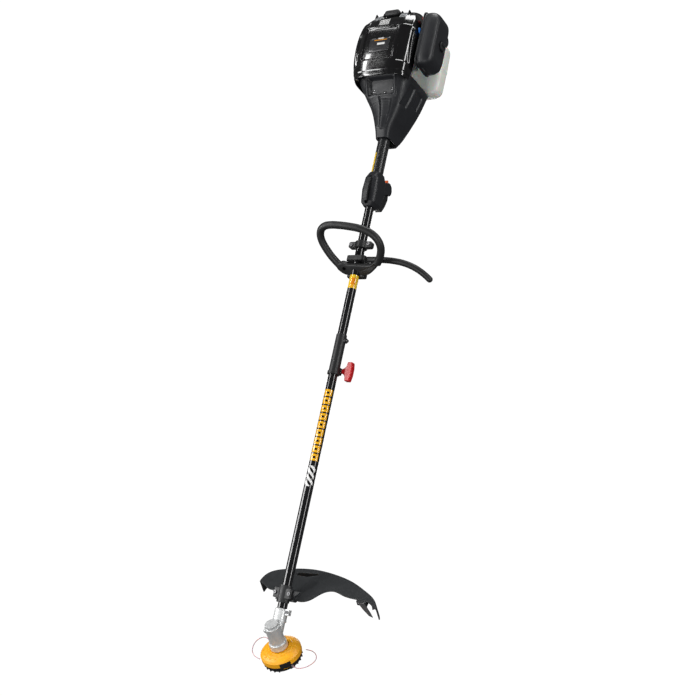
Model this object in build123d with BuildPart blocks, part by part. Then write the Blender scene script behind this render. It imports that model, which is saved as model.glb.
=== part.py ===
"""Petrol string trimmer with a split shaft, loop handle and bump-feed head.

The shaft axis is Z with the engine at the +Z end, the loop handle stands on the -Y side
and the operator's left is +X. The origin is on the shaft axis, in the middle of the
harness clamp. Lengths are in millimetres.
"""
from build123d import *
from math import atan2, cos, degrees, pi, radians, sin, tan
import os

os.makedirs("parts", exist_ok=True)

# ---- driving dimensions -------------------------------------------------------------
RUN = 0.05             # radial clearance of a shaft turning in its hole
SEAT = 0.05            # radial clearance of a piece seated in its bore
GAP = 0.6              # clearance between pieces that move past each other

TUBE_R = 12.5          # outside radius of both shaft tubes
TUBE_WALL = 1.6
UPPER_TUBE_TOP = 352   # end of the upper tube, inside the clutch housing
SPLIT_Z = -312         # where the two tubes meet, inside the coupler
LOWER_TUBE_END = -1008

DRIVE_R = 3.5          # drive shaft radius
BUSH_LENGTH = 16
BUSH_Z = (300, 60, -180, -420, -660, -900)

GRIP_R = TUBE_R + 4.5
GRIP_Z = (216, 330)

COUPLER_R = TUBE_R + 1.9
COUPLER_Z = (-372, -260)
COUPLER_EAR_Z = -357
COUPLER_EAR_Y = TUBE_R + 6.5
KNOB_BOLT_R = 3.0
KNOB_LENGTH = 53
BUTTON_Z = -277
BUTTON_R = 4.0

HANDLE_TILT = 40       # loop plane leans this much from square towards the engine
HANDLE_Z = -61
LOOP_LIFT = 9.0        # loop plane stands this far in front of the shaft axis point at HANDLE_Z
LOOP_TUBE_R = 11.0
LOOP_HOLE_R = 5.5
LOOP_HOLE_X = -30.0
LOOP_HOLE_Y = 2.0
BAR_R = 8.6

HEAD_TILT = 50         # head axis leans this much from the shaft
GEAR_Z = LOWER_TUBE_END - 48   # shaft axis and head axis cross here
PINION_TEETH = 12
GEAR_TEETH = 16
GEAR_REACH = 12.0      # cone distance of the bevel pair
TOOTH_WIDTH = 5.0
OUTPUT_R = 5.0
HEAD_R = 52.0          # orange cover of the head
COVER_WALL = 2.6
BASE_R = HEAD_R - COVER_WALL - GAP   # black base of the head
BASE_TOP = -46.0
BASE_BOTTOM = -72.0
LINE_R = 1.2

SHIELD_D = 52.0        # underside of the shield plate, along the head axis
SHIELD_WALL = 3.0
SHIELD_SKIRT = 34.0

HOUSING_WALL = 3.0
CRANK_R = 6.0
CRANKCASE_R = 38.0
CRANKCASE_Z = (500, 584)
FLYWHEEL_R = 46.0
FLYWHEEL_Z = (590, 608)
PULLEY_R = 30.0
PULLEY_Z = (640, 652)
DRUM_R = 32.0
DRUM_WALL = 2.5
DRUM_Z = (440, 472)
BORE_R = 17.0
SCREW_R = 2.5

HEAD_UP = Vector(0, -sin(radians(HEAD_TILT)), cos(radians(HEAD_TILT)))
HEAD = Plane(origin=(0, 0, GEAR_Z), x_dir=(1, 0, 0), z_dir=HEAD_UP)
LOOP_UP = Vector(0, -cos(radians(HANDLE_TILT)), sin(radians(HANDLE_TILT)))
LOOP_NORMAL = Vector(1, 0, 0).cross(LOOP_UP)
LOOP = Plane(origin=Vector(0, 0, HANDLE_Z) + LOOP_NORMAL * LOOP_LIFT, x_dir=(1, 0, 0), z_dir=LOOP_NORMAL)


def save(piece, name):
    """Label a finished piece and write its STEP file."""
    piece.part.label = name
    export_step(piece.part, f"parts/{name}.step")


def disc(plane, low, high, radius, hole=0.0, mode=Mode.ADD):
    """Round bar or ring between two distances along the plane's normal."""
    with BuildSketch(plane.offset(low)) as ring:
        Circle(radius)
        if hole:
            Circle(hole, mode=Mode.SUBTRACT)
    extrude(ring.sketch, amount=high - low, mode=mode)


def block(x, y, z, corner=0.0, mode=Mode.ADD):
    """Box between three pairs of limits, with rounded upright edges."""
    with BuildSketch(Plane.XY.offset(z[0])) as base:
        with Locations(((x[0] + x[1]) / 2, (y[0] + y[1]) / 2)):
            if corner:
                RectangleRounded(x[1] - x[0], y[1] - y[0], corner)
            else:
                Rectangle(x[1] - x[0], y[1] - y[0])
    extrude(base.sketch, amount=z[1] - z[0], mode=mode)


def rod(start, length, radius, mode=Mode.ADD):
    """Round bar that starts on a plane and follows its normal."""
    disc(start, 0, length, radius, mode=mode)


def prism(plane, points, low, high, corner=0.0, mode=Mode.ADD):
    """Closed outline on a plane, extruded between two distances along its normal."""
    with BuildSketch(plane.offset(low)) as outline:
        with BuildLine():
            if corner:
                FilletPolyline(*points, radius=corner, close=True)
            else:
                Polyline(*points, close=True)
        make_face()
    extrude(outline.sketch, amount=high - low, mode=mode)


def cross_pin(spot, half_length, radius, mode=Mode.ADD):
    """Round bar along X through a (y, z) spot, the same length to both sides."""
    disc(Plane(origin=(-half_length, *spot), z_dir=(1, 0, 0)), 0, 2 * half_length, radius, mode=mode)


def sections(rings, inset=0.0, mode=Mode.ADD):
    """Loft through rounded rectangles given as (z, x0, x1, y0, y1, corner)."""
    faces = []
    for z, x0, x1, y0, y1, corner in rings:
        with BuildSketch(Plane.XY.offset(z)) as ring:
            with Locations(((x0 + x1) / 2, (y0 + y1) / 2)):
                RectangleRounded(x1 - x0 - 2 * inset, y1 - y0 - 2 * inset, max(corner - inset, 1.0))
        faces.append(ring.sketch.face())
    loft(faces, ruled=True, mode=mode)


def screw(plane, length, head_r=4.5, head_h=3.0, radius=SCREW_R):
    """Socket screw: its head stands on the plane and its shank goes below it."""
    disc(plane, 0, head_h, head_r)
    disc(plane, -length, 0, radius)
    disc(plane, head_h * 0.4, head_h, radius * 0.8, mode=Mode.SUBTRACT)


# ---- shaft tubes and drive line -----------------------------------------------------
BUTTON_HOLE_R = BUTTON_R + GAP
with BuildPart() as upper_tube:
    disc(Plane.XY, SPLIT_Z + 0.2, UPPER_TUBE_TOP, TUBE_R, TUBE_R - TUBE_WALL)
    rod(Plane(origin=(0, 0, BUTTON_Z), z_dir=(1, 0, 0)), TUBE_R + 2, BUTTON_HOLE_R, Mode.SUBTRACT)
save(upper_tube, "upper_tube")

with BuildPart() as lower_tube:
    disc(Plane.XY, LOWER_TUBE_END, SPLIT_Z - 0.2, TUBE_R, TUBE_R - TUBE_WALL)
save(lower_tube, "lower_tube")

with BuildPart() as shaft_bushes:
    for z in BUSH_Z:
        disc(Plane.XY, z - BUSH_LENGTH / 2, z + BUSH_LENGTH / 2, TUBE_R - TUBE_WALL - SEAT, DRIVE_R + RUN)
save(shaft_bushes, "shaft_bushes")

SOCKET_R = 7.0
SQUARE = 4.4
with BuildPart() as upper_drive_shaft:
    disc(Plane.XY, SPLIT_Z + 4, DRUM_Z[0] - 4, DRIVE_R)
    disc(Plane.XY, SPLIT_Z - 22, SPLIT_Z + 14, SOCKET_R)
    with BuildSketch(Plane.XY.offset(SPLIT_Z - 22)):
        Rectangle(SQUARE + 2 * SEAT, SQUARE + 2 * SEAT)
    extrude(amount=24, mode=Mode.SUBTRACT)
save(upper_drive_shaft, "upper_drive_shaft")

PINION_TOP = GEAR_Z + 26
with BuildPart() as lower_drive_shaft:
    disc(Plane.XY, PINION_TOP, SPLIT_Z - 24, DRIVE_R)
    with BuildSketch(Plane.XY.offset(SPLIT_Z - 24)):
        Rectangle(SQUARE, SQUARE)
    extrude(amount=25)
save(lower_drive_shaft, "lower_drive_shaft")

# ---- grip sleeve and throttle housing -----------------------------------------------
GRIP_RIDGES = 14
with BuildPart() as grip_sleeve:
    disc(Plane.XY, GRIP_Z[0], GRIP_Z[1], GRIP_R, TUBE_R + SEAT)
    with BuildSketch(Plane.XY.offset(GRIP_Z[0] + 8)):
        with PolarLocations(GRIP_R, GRIP_RIDGES):
            Circle(1.0)
    extrude(amount=GRIP_Z[1] - GRIP_Z[0] - 30, mode=Mode.SUBTRACT)
save(grip_sleeve, "grip_sleeve")

TRIGGER_PIVOT = (56, 190)
LOCKOUT_PIVOT = (-25, 190)
SWITCH_PIVOT = (53, 209)
PIVOT_R = 2.5
TRIGGER_HALF = 7.0
LOCKOUT_HALF = 6.0
SWITCH_HALF = 4.4
SWITCH_R = 6.5
THROTTLE_SECTIONS = (
    (113, -14, 14, -17, 18, 10),
    (124, -22, 22, -25, 30, 14),
    (160, -25, 25, -31, 34, 18),
    (196, -22, 22, -30, 31, 16),
    (215, -17.5, 17.5, -19, 20, 10),
)
HOOK = ((16, 174), (42, 172), (50, 179), (64, 180), (70, 187), (71, 197), (66, 208), (56, 214), (46, 213),
        (38, 206), (16, 204))
PIN_HALF = 10.5
TRIGGER_OUTLINE = ((48, 180), (52, 194), (60, 194), (67, 182), (69, 170), (63, 148), (52, 126), (43, 121),
                   (39, 127), (45, 150))
LOCKOUT_OUTLINE = ((-21, 194), (-28, 197), (-34, 190), (-38, 172), (-39, 150), (-36, 128), (-31, 121),
                   (-28, 124), (-31, 150), (-28, 184), (-21, 186))
SWITCH_TAB = ((48.5, 210), (57.5, 210), (58, 223), (54.5, 226), (50, 222))
throttle_screw_spots = ((18.5, 134), (-19, 150), (34, 182), (-19, 204))
with BuildPart() as throttle_body:
    sections(THROTTLE_SECTIONS)
    fillet(throttle_body.edges().group_by(Axis.Z)[0], 2.0)
    prism(Plane.YZ, HOOK, -14.0, 14.0)
    disc(Plane.XY, 112, 216, TUBE_R + SEAT, mode=Mode.SUBTRACT)
    block((-TRIGGER_HALF - GAP, TRIGGER_HALF + GAP), (26.5, 80), (108, 180), mode=Mode.SUBTRACT)
    block((-TRIGGER_HALF - GAP, TRIGGER_HALF + GAP), (45, 80), (170, 200), mode=Mode.SUBTRACT)
    block((-LOCKOUT_HALF - GAP, LOCKOUT_HALF + GAP), (-40, -15.5), (118, 199), mode=Mode.SUBTRACT)
    cross_pin(SWITCH_PIVOT, SWITCH_HALF + GAP, SWITCH_R + GAP, Mode.SUBTRACT)
    block((-SWITCH_HALF - GAP, SWITCH_HALF + GAP), (44.5, 64), (209, 220), mode=Mode.SUBTRACT)
    for spot in (TRIGGER_PIVOT, LOCKOUT_PIVOT, SWITCH_PIVOT):
        cross_pin(spot, 11, PIVOT_R + RUN, Mode.SUBTRACT)
    for spot in throttle_screw_spots:
        cross_pin(spot, 30, 1.6, Mode.SUBTRACT)

with BuildPart() as throttle_housing_left:
    add(throttle_body.part)
    split(bisect_by=Plane.YZ, keep=Keep.TOP)
save(throttle_housing_left, "throttle_housing_left")

with BuildPart() as throttle_housing_right:
    add(throttle_body.part)
    split(bisect_by=Plane.YZ, keep=Keep.BOTTOM)
save(throttle_housing_right, "throttle_housing_right")


with BuildPart() as throttle_trigger:
    prism(Plane.YZ, TRIGGER_OUTLINE, -TRIGGER_HALF, TRIGGER_HALF)
    fillet(throttle_trigger.edges().filter_by(Axis.X), 1.6)
    cross_pin(TRIGGER_PIVOT, PIN_HALF, PIVOT_R)
save(throttle_trigger, "throttle_trigger")

with BuildPart() as throttle_lockout:
    prism(Plane.YZ, LOCKOUT_OUTLINE, -LOCKOUT_HALF, LOCKOUT_HALF)
    fillet(throttle_lockout.edges().filter_by(Axis.X), 1.2)
    cross_pin(LOCKOUT_PIVOT, PIN_HALF, PIVOT_R)
save(throttle_lockout, "throttle_lockout")

with BuildPart() as stop_switch:
    cross_pin(SWITCH_PIVOT, SWITCH_HALF, SWITCH_R)
    prism(Plane.YZ, SWITCH_TAB, -SWITCH_HALF, SWITCH_HALF)
    fillet(stop_switch.edges().filter_by(Axis.X).group_by(Axis.Z)[-1], 1.0)
    cross_pin(SWITCH_PIVOT, PIN_HALF, PIVOT_R)
save(stop_switch, "stop_switch")

# ---- harness clamp ------------------------------------------------------------------
CLAMP_R = TUBE_R + 5.5
CLAMP_HALF = 9.0
CLAMP_EAR = 36.0
CLAMP_SCREW_X = TUBE_R + 14.5
with BuildPart() as clamp_body:
    disc(Plane.XY, -CLAMP_HALF, CLAMP_HALF, CLAMP_R)
    with BuildSketch(Plane.XZ):
        for side in (-1, 1):
            with Locations((side * (CLAMP_EAR + 8) / 2, 0)):
                RectangleRounded(CLAMP_EAR - 8, 2 * CLAMP_HALF, 5.0)
    extrude(amount=8.0, both=True)
    chamfer(clamp_body.faces().sort_by(Axis.Z)[-1].edges(), 1.0)
    disc(Plane.XY, -20, 20, TUBE_R + SEAT, mode=Mode.SUBTRACT)
    for side in (-1, 1):
        rod(Plane(origin=(side * CLAMP_SCREW_X, 20, 0), z_dir=(0, -1, 0)), 40, SCREW_R + SEAT, Mode.SUBTRACT)

SPLIT_GAP = 0.8
with BuildPart() as harness_clamp_top:
    add(clamp_body.part)
    split(bisect_by=Plane.XZ.offset(SPLIT_GAP), keep=Keep.TOP)
save(harness_clamp_top, "harness_clamp_top")

with BuildPart() as harness_clamp_bottom:
    add(clamp_body.part)
    split(bisect_by=Plane.XZ.offset(-SPLIT_GAP), keep=Keep.BOTTOM)
save(harness_clamp_bottom, "harness_clamp_bottom")

# ---- loop handle, its clamp and the barrier bar ---------------------------------------
LOOP_CORNERS = ((-40, -4), (-100, 86), (-66, 134), (78, 107), (101, 72), (76, 8), (36, -12))
LOOP_RADII = (20, 30, 26, 26, 32, 40, 20)
SADDLE = ((-52, 8), (-34, 16), (44, 12), (72, 8), (54, -24), (-32, -24))
HANDLE_CLAMP_Z = (-92, -58)
HANDLE_SCREW_X = TUBE_R + 8.0
HANDLE_SCREW_Z = -73.0
HANDLE_CLAMP_Y = 21.0
with BuildPart() as loop_handle:
    with BuildLine(LOOP) as loop_line:
        FilletPolyline(*LOOP_CORNERS, radius=list(LOOP_RADII), close=True)
    with BuildSketch(Plane(origin=loop_line.line @ 0, z_dir=loop_line.line % 0)):
        Circle(LOOP_TUBE_R)
    sweep(path=loop_line.line)
    prism(LOOP, SADDLE, -LOOP_TUBE_R, LOOP_TUBE_R, corner=7)
    disc(Plane.XY, -200, 100, TUBE_R + RUN, mode=Mode.SUBTRACT)
    block((-120, 120), (SPLIT_GAP, 80), (-200, 0), mode=Mode.SUBTRACT)
    with Locations(LOOP * Location((LOOP_HOLE_X, LOOP_HOLE_Y, 0))):
        Cylinder(LOOP_HOLE_R, 60, mode=Mode.SUBTRACT)
    for side in (-1, 1):
        rod(Plane(origin=(side * HANDLE_SCREW_X, 1, HANDLE_SCREW_Z), z_dir=(0, -1, 0)), 11,
            SCREW_R + SEAT, Mode.SUBTRACT)
save(loop_handle, "loop_handle")

with BuildPart() as handle_clamp:
    block((-28, 28), (SPLIT_GAP, HANDLE_CLAMP_Y), HANDLE_CLAMP_Z, corner=6)
    fillet(handle_clamp.faces().sort_by(Axis.Y)[-1].edges().filter_by(Axis.X), 3)
    disc(Plane.XY, -200, 0, TUBE_R + RUN, mode=Mode.SUBTRACT)
    for side in (-1, 1):
        rod(Plane(origin=(side * HANDLE_SCREW_X, 30, HANDLE_SCREW_Z), z_dir=(0, -1, 0)), 40,
            SCREW_R + SEAT, Mode.SUBTRACT)
save(handle_clamp, "handle_clamp")

with BuildPart() as handle_screws:
    for side in (-1, 1):
        screw(Plane(origin=(side * HANDLE_SCREW_X, HANDLE_CLAMP_Y, HANDLE_SCREW_Z), z_dir=(0, 1, 0)), 30)
save(handle_screws, "handle_screws")

BAR_ROUTE = ((14, 1, -42), (60, 0, -43), (112, 2, -42), (160, 0, -48), (188, 24, -68), (207, 41, -84))
BAR_CLAMP_Z = (-49.5, -36)
with BuildPart() as barrier_bar:
    with BuildLine() as bar_line:
        Bezier(*BAR_ROUTE)
    with BuildSketch(Plane(origin=bar_line.line @ 0, z_dir=bar_line.line % 0)):
        Circle(BAR_R)
    sweep(path=bar_line.line)
    with Locations(BAR_ROUTE[-1]):
        Sphere(BAR_R)
    block((-29, 29), (-19, 19), BAR_CLAMP_Z, corner=9)
    disc(Plane.XY, -80, 0, TUBE_R + RUN, mode=Mode.SUBTRACT)
save(barrier_bar, "barrier_bar")

# ---- coupler between the two tubes ----------------------------------------------------
COUPLER_BORE = TUBE_R + SEAT
EAR_Z = (COUPLER_EAR_Z - 9, COUPLER_EAR_Z + 9)
EAR_X = 9.5
BUTTON_BOSS_X = COUPLER_R + 4.6
with BuildPart() as coupler_sleeve:
    disc(Plane.XY, *COUPLER_Z, COUPLER_R)
    disc(Plane.XY, COUPLER_Z[0], COUPLER_Z[0] + 8, COUPLER_R + 2)
    chamfer(coupler_sleeve.edges().filter_by(GeomType.CIRCLE).group_by(Axis.Z)[-1], 0.8)
    block((-EAR_X, EAR_X), (5, COUPLER_EAR_Y + 7), EAR_Z, corner=3)
    rod(Plane(origin=(8, 0, BUTTON_Z), z_dir=(1, 0, 0)), BUTTON_BOSS_X - 8, BUTTON_R + 3)
    disc(Plane.XY, COUPLER_Z[0] - 1, COUPLER_Z[1] + 1, COUPLER_BORE, mode=Mode.SUBTRACT)
    block((-1, 1), (10, 40), (COUPLER_Z[0] - 1, EAR_Z[1] + 8), mode=Mode.SUBTRACT)
    rod(Plane(origin=(-30, COUPLER_EAR_Y, COUPLER_EAR_Z), z_dir=(1, 0, 0)), 60, KNOB_BOLT_R + RUN,
        Mode.SUBTRACT)
    rod(Plane(origin=(5, 0, BUTTON_Z), z_dir=(1, 0, 0)), 40, BUTTON_R + RUN, Mode.SUBTRACT)
    rod(Plane(origin=(0, -8, COUPLER_Z[0] + 36), z_dir=(0, -1, 0)), 20, 2.0, Mode.SUBTRACT)
save(coupler_sleeve, "coupler_sleeve")

with BuildPart() as coupler_button:
    rod(Plane(origin=(TUBE_R - 2.9, 0, BUTTON_Z), z_dir=(1, 0, 0)), COUPLER_R, BUTTON_R)
    fillet(coupler_button.faces().sort_by(Axis.X)[-1].edges(), 1.2)
save(coupler_button, "coupler_button")

KNOB_X = (EAR_X + 5.5, 46)
with BuildPart() as knob_bolt:
    rod(Plane(origin=(-EAR_X - 3, COUPLER_EAR_Y, COUPLER_EAR_Z), z_dir=(1, 0, 0)), KNOB_X[0] + EAR_X + 11,
        KNOB_BOLT_R)
    rod(Plane(origin=(EAR_X + GAP, COUPLER_EAR_Y, COUPLER_EAR_Z), z_dir=(1, 0, 0)), 2, 6)
save(knob_bolt, "knob_bolt")

KNOB_PLANE = Plane(origin=(0, COUPLER_EAR_Y, COUPLER_EAR_Z), x_dir=(1, 0, 0), z_dir=(0, -1, 0))
KNOB_HALF = KNOB_LENGTH / 2
KNOB_OUTLINE = ((KNOB_X[0], -6), (21, -8), (27, -14), (29, -KNOB_HALF), (43, -KNOB_HALF), (46, -10), (46, 10),
                (43, KNOB_HALF), (29, KNOB_HALF), (27, 14), (21, 8), (KNOB_X[0], 6))
with BuildPart() as coupler_knob:
    prism(KNOB_PLANE, KNOB_OUTLINE, -7.5, 7.5, corner=2.5)
    fillet(coupler_knob.edges().group_by(Axis.Y)[0] + coupler_knob.edges().group_by(Axis.Y)[-1], 2.4)
    rod(Plane(origin=(0, COUPLER_EAR_Y, COUPLER_EAR_Z), z_dir=(1, 0, 0)), KNOB_X[0] + 8 + SEAT,
        KNOB_BOLT_R + SEAT, Mode.SUBTRACT)
save(coupler_knob, "coupler_knob")

# ---- gearbox ----------------------------------------------------------------------------
SOCKET_TOP = LOWER_TUBE_END + 22
SOCKET_R2 = TUBE_R + 4.5
BODY_R = 19.5
FLANGE_R = 22.7
FLANGE_D = (-31, -15)
PINION_BEARING_R = 9.5
PINION_BEARING_Z = (GEAR_Z + 13, GEAR_Z + 23)
OUTPUT_BEARING_R = 12.0
OUTPUT_BEARINGS_D = ((-16, -8), (-29, -21))
HEAD_SIDE = Plane(origin=HEAD.origin, x_dir=(1, 0, 0), z_dir=-HEAD.y_dir)
HEAD_AXIS = Axis(HEAD.origin, HEAD_UP)
EAR_SCREW_Z = SOCKET_TOP - 8
PLUG_PLANE = Plane(origin=(-24, -14, GEAR_Z + 9), z_dir=(-1, 0, 0))
with BuildPart() as gearbox_housing:
    disc(Plane.XY, SOCKET_TOP - 30, SOCKET_TOP, SOCKET_R2)
    disc(Plane.XY, GEAR_Z, SOCKET_TOP - 30, SOCKET_R2 - 1.5)
    disc(Plane.XY, SOCKET_TOP - 32, SOCKET_TOP - 28, SOCKET_R2 + 0.8)
    disc(HEAD, FLANGE_D[1], 34, BODY_R)
    disc(HEAD, 34, 42, 17.0)
    fillet(gearbox_housing.faces().sort_by(HEAD_AXIS)[-1].edges(), 5.5)
    disc(HEAD, *FLANGE_D, FLANGE_R)
    chamfer(gearbox_housing.faces().sort_by(HEAD_AXIS)[0].edges(), 1.2)
    block((8, 26), (-6, 6), (EAR_SCREW_Z - 7, EAR_SCREW_Z + 7))
    rod(Plane(origin=(-8, -14, GEAR_Z + 9), z_dir=(-1, 0, 0)), 16, 6.0)
    prism(Plane.YZ, ((0, GEAR_Z + 38), (17, GEAR_Z + 38), (19, GEAR_Z + 8), (0, GEAR_Z + 8)), -2, 2)
    disc(Plane.XY, LOWER_TUBE_END - 0.2, SOCKET_TOP + 1, TUBE_R + SEAT, mode=Mode.SUBTRACT)
    disc(Plane.XY, GEAR_Z, LOWER_TUBE_END, 6.0, mode=Mode.SUBTRACT)
    disc(Plane.XY, PINION_BEARING_Z[0], PINION_BEARING_Z[1], PINION_BEARING_R + SEAT, mode=Mode.SUBTRACT)
    disc(Plane.XY, GEAR_Z, PINION_BEARING_Z[0], 12.5, mode=Mode.SUBTRACT)
    disc(HEAD, -8, 20, 15.5, mode=Mode.SUBTRACT)
    disc(HEAD, -32, -8, OUTPUT_BEARING_R + SEAT, mode=Mode.SUBTRACT)
    block((7, 40), (-1, 1), (EAR_SCREW_Z - 9, SOCKET_TOP + 1), mode=Mode.SUBTRACT)
    rod(Plane(origin=(20.5, 20, EAR_SCREW_Z), z_dir=(0, -1, 0)), 40, SCREW_R + SEAT, Mode.SUBTRACT)
    rod(Plane(origin=(-19, -14, GEAR_Z + 9), z_dir=(-1, 0, 0)), 10, SCREW_R + SEAT, Mode.SUBTRACT)
save(gearbox_housing, "gearbox_housing")


def bearing(plane, low, high, outer, bore):
    """Ball bearing shown as two rings and the shields between them."""
    step = (outer - bore) * 0.3
    disc(plane, low, high, outer - SEAT, outer - step)
    disc(plane, low, high, bore + step, bore)
    disc(plane, low + 1, high - 1, outer - step, bore + step)


with BuildPart() as gearbox_bearings:
    bearing(Plane.XY, *PINION_BEARING_Z, PINION_BEARING_R, 4.0 + RUN)
    for low, high in OUTPUT_BEARINGS_D:
        bearing(HEAD, low, high, OUTPUT_BEARING_R, OUTPUT_R + RUN)
save(gearbox_bearings, "gearbox_bearings")

# The bevel pair shares one apex, where the two axes cross. Teeth are thinned for backlash.
SHAFT_ANGLE = 180 - HEAD_TILT
GEAR_RATIO = GEAR_TEETH / PINION_TEETH
PINION_CONE = degrees(atan2(sin(radians(SHAFT_ANGLE)), GEAR_RATIO + cos(radians(SHAFT_ANGLE))))
GEAR_CONE = SHAFT_ANGLE - PINION_CONE
TOOTH_PITCH = 2 * pi * GEAR_REACH * sin(radians(PINION_CONE)) / PINION_TEETH
ADDENDUM = 0.26 * TOOTH_PITCH
DEDENDUM = 0.36 * TOOTH_PITCH
TOOTH_TIP = 0.20 * TOOTH_PITCH
TOOTH_ROOT = 0.56 * TOOTH_PITCH


def tooth(cone):
    """One straight bevel tooth, pointing at the apex at the origin, above the X axis."""
    along = Vector(sin(radians(cone)), 0, cos(radians(cone)))
    outward = Vector(cos(radians(cone)), 0, -sin(radians(cone)))
    faces = []
    for reach in (GEAR_REACH, GEAR_REACH - TOOTH_WIDTH):
        scale = reach / GEAR_REACH
        with BuildSketch(Plane(origin=along * reach, x_dir=outward, z_dir=along)) as flank:
            with BuildLine():
                Polyline((-(DEDENDUM + 0.4) * scale, -TOOTH_ROOT / 2 * scale),
                         (ADDENDUM * scale, -TOOTH_TIP / 2 * scale),
                         (ADDENDUM * scale, TOOTH_TIP / 2 * scale),
                         (-(DEDENDUM + 0.4) * scale, TOOTH_ROOT / 2 * scale),
                         close=True)
            make_face()
        faces.append(flank.sketch.face())
    with BuildPart(mode=Mode.PRIVATE) as wedge:
        loft(faces, ruled=True)
    return wedge.part


def gear_blank(cone, hub_r, hub_length):
    """Root cone and hub of a bevel gear with its apex at the origin, turned about Z."""
    root = radians(cone) - atan2(DEDENDUM, GEAR_REACH)
    inner = GEAR_REACH - TOOTH_WIDTH
    outer_r = GEAR_REACH * sin(root)
    outer_z = GEAR_REACH * cos(root)
    inner_r = inner * sin(root)
    inner_z = inner * cos(root)
    with BuildSketch(Plane.XZ) as half:
        with BuildLine():
            Polyline((0, inner_z), (inner_r, inner_z), (outer_r, outer_z), (outer_r - 0.6, outer_z + 1.2),
                     (hub_r, outer_z + 1.8), (hub_r, outer_z + hub_length), (0, outer_z + hub_length),
                     close=True)
        make_face()
    revolve(half.sketch, axis=Axis.Z)


with BuildPart() as pinion_shape:
    gear_blank(PINION_CONE, 4.0, PINION_BEARING_Z[1] + 2 - GEAR_Z - GEAR_REACH * cos(radians(PINION_CONE)))
    with PolarLocations(0, PINION_TEETH):
        add(tooth(PINION_CONE))
with BuildPart() as pinion_gear:
    add(pinion_shape.part.moved(Plane(origin=HEAD.origin, x_dir=(0, 1, 0), z_dir=(0, 0, 1)).location))
    disc(Plane.XY, PINION_TOP - 0.2, 0, 20, mode=Mode.SUBTRACT)
save(pinion_gear, "pinion_gear")

GEAR_HUB_R = 7.5
with BuildPart() as gear_shape:
    gear_blank(GEAR_CONE, GEAR_HUB_R, 3.4)
    with PolarLocations(0, GEAR_TEETH, start_angle=180 / GEAR_TEETH):
        add(tooth(GEAR_CONE))
with BuildPart() as output_gear:
    add(gear_shape.part.moved(Plane(origin=HEAD.origin, x_dir=HEAD.y_dir, z_dir=-HEAD_UP).location))
    disc(HEAD, -20, 20, OUTPUT_R - 1.5, mode=Mode.SUBTRACT)
save(output_gear, "output_gear")

SHAFT_D = (-68, -0.8)
with BuildPart() as output_shaft:
    disc(HEAD, SHAFT_D[0], -8.2, OUTPUT_R)
    disc(HEAD, -8.2, -1.6, OUTPUT_R - 1.5 - SEAT)
save(output_shaft, "output_shaft")

# ---- trimmer head -------------------------------------------------------------------------
COVER_LOW = -55.0
NOTCH_ANGLE = -46.5
LINE_ANGLE = -28.0
LINE_D = -64.0
EYELET_R = 4.0
EYELET_REACH = (BASE_R - 3.3, BASE_R + 2.2)
COVER_PROFILE = ((OUTPUT_R + SEAT, -37), (OUTPUT_R + SEAT, -33.5), (22, -33.5), (24, -32.5), (33, -32.5),
                 (35, -34.5), (HEAD_R - 11, -36), (HEAD_R - 4, -39), (HEAD_R, -43), (HEAD_R, COVER_LOW),
                 (HEAD_R - COVER_WALL, COVER_LOW), (HEAD_R - COVER_WALL, -44), (HEAD_R - 5.5, -41.3),
                 (HEAD_R - 12, -38.8), (33, -37))
LATCH_HALF = 13.0


def turned(plane_points, mode=Mode.ADD):
    """Half outline as (radius, distance along the head axis), turned about the head axis."""
    with BuildSketch(HEAD_SIDE) as half:
        with BuildLine():
            Polyline(*plane_points, close=True)
        make_face()
    revolve(half.sketch, axis=HEAD_AXIS, mode=mode)


def polar(angle, radius, distance):
    """Plane on the head at an angle about its axis, facing outwards, with local Y along the axis."""
    out = HEAD.x_dir * cos(radians(angle)) + HEAD.y_dir * sin(radians(angle))
    origin = HEAD.origin + out * radius + HEAD_UP * distance
    return Plane(origin=origin, x_dir=HEAD_UP.cross(out), z_dir=out)


def radial_block(angle, half, radius, distance, mode=Mode.ADD):
    """Block on the head between two radii and two distances along its axis."""
    with BuildSketch(polar(angle, radius[0], (distance[0] + distance[1]) / 2)) as face:
        Rectangle(2 * half, distance[1] - distance[0])
    extrude(face.sketch, amount=radius[1] - radius[0], mode=mode)


with BuildPart() as head_cover:
    turned(COVER_PROFILE)
    for turn in (0, 180):
        radial_block(NOTCH_ANGLE + turn, LATCH_HALF + 1, (HEAD_R - 10, HEAD_R + 8), (COVER_LOW - 1, -44),
                     Mode.SUBTRACT)
    for turn in (25, 205):
        with BuildSketch(HEAD.offset(-37)) as scallop:
            with PolarLocations(HEAD_R - 9, 5, start_angle=turn, angular_range=100):
                SlotOverall(7, 2.4)
        extrude(scallop.sketch, amount=8, mode=Mode.SUBTRACT)
save(head_cover, "head_cover")

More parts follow.
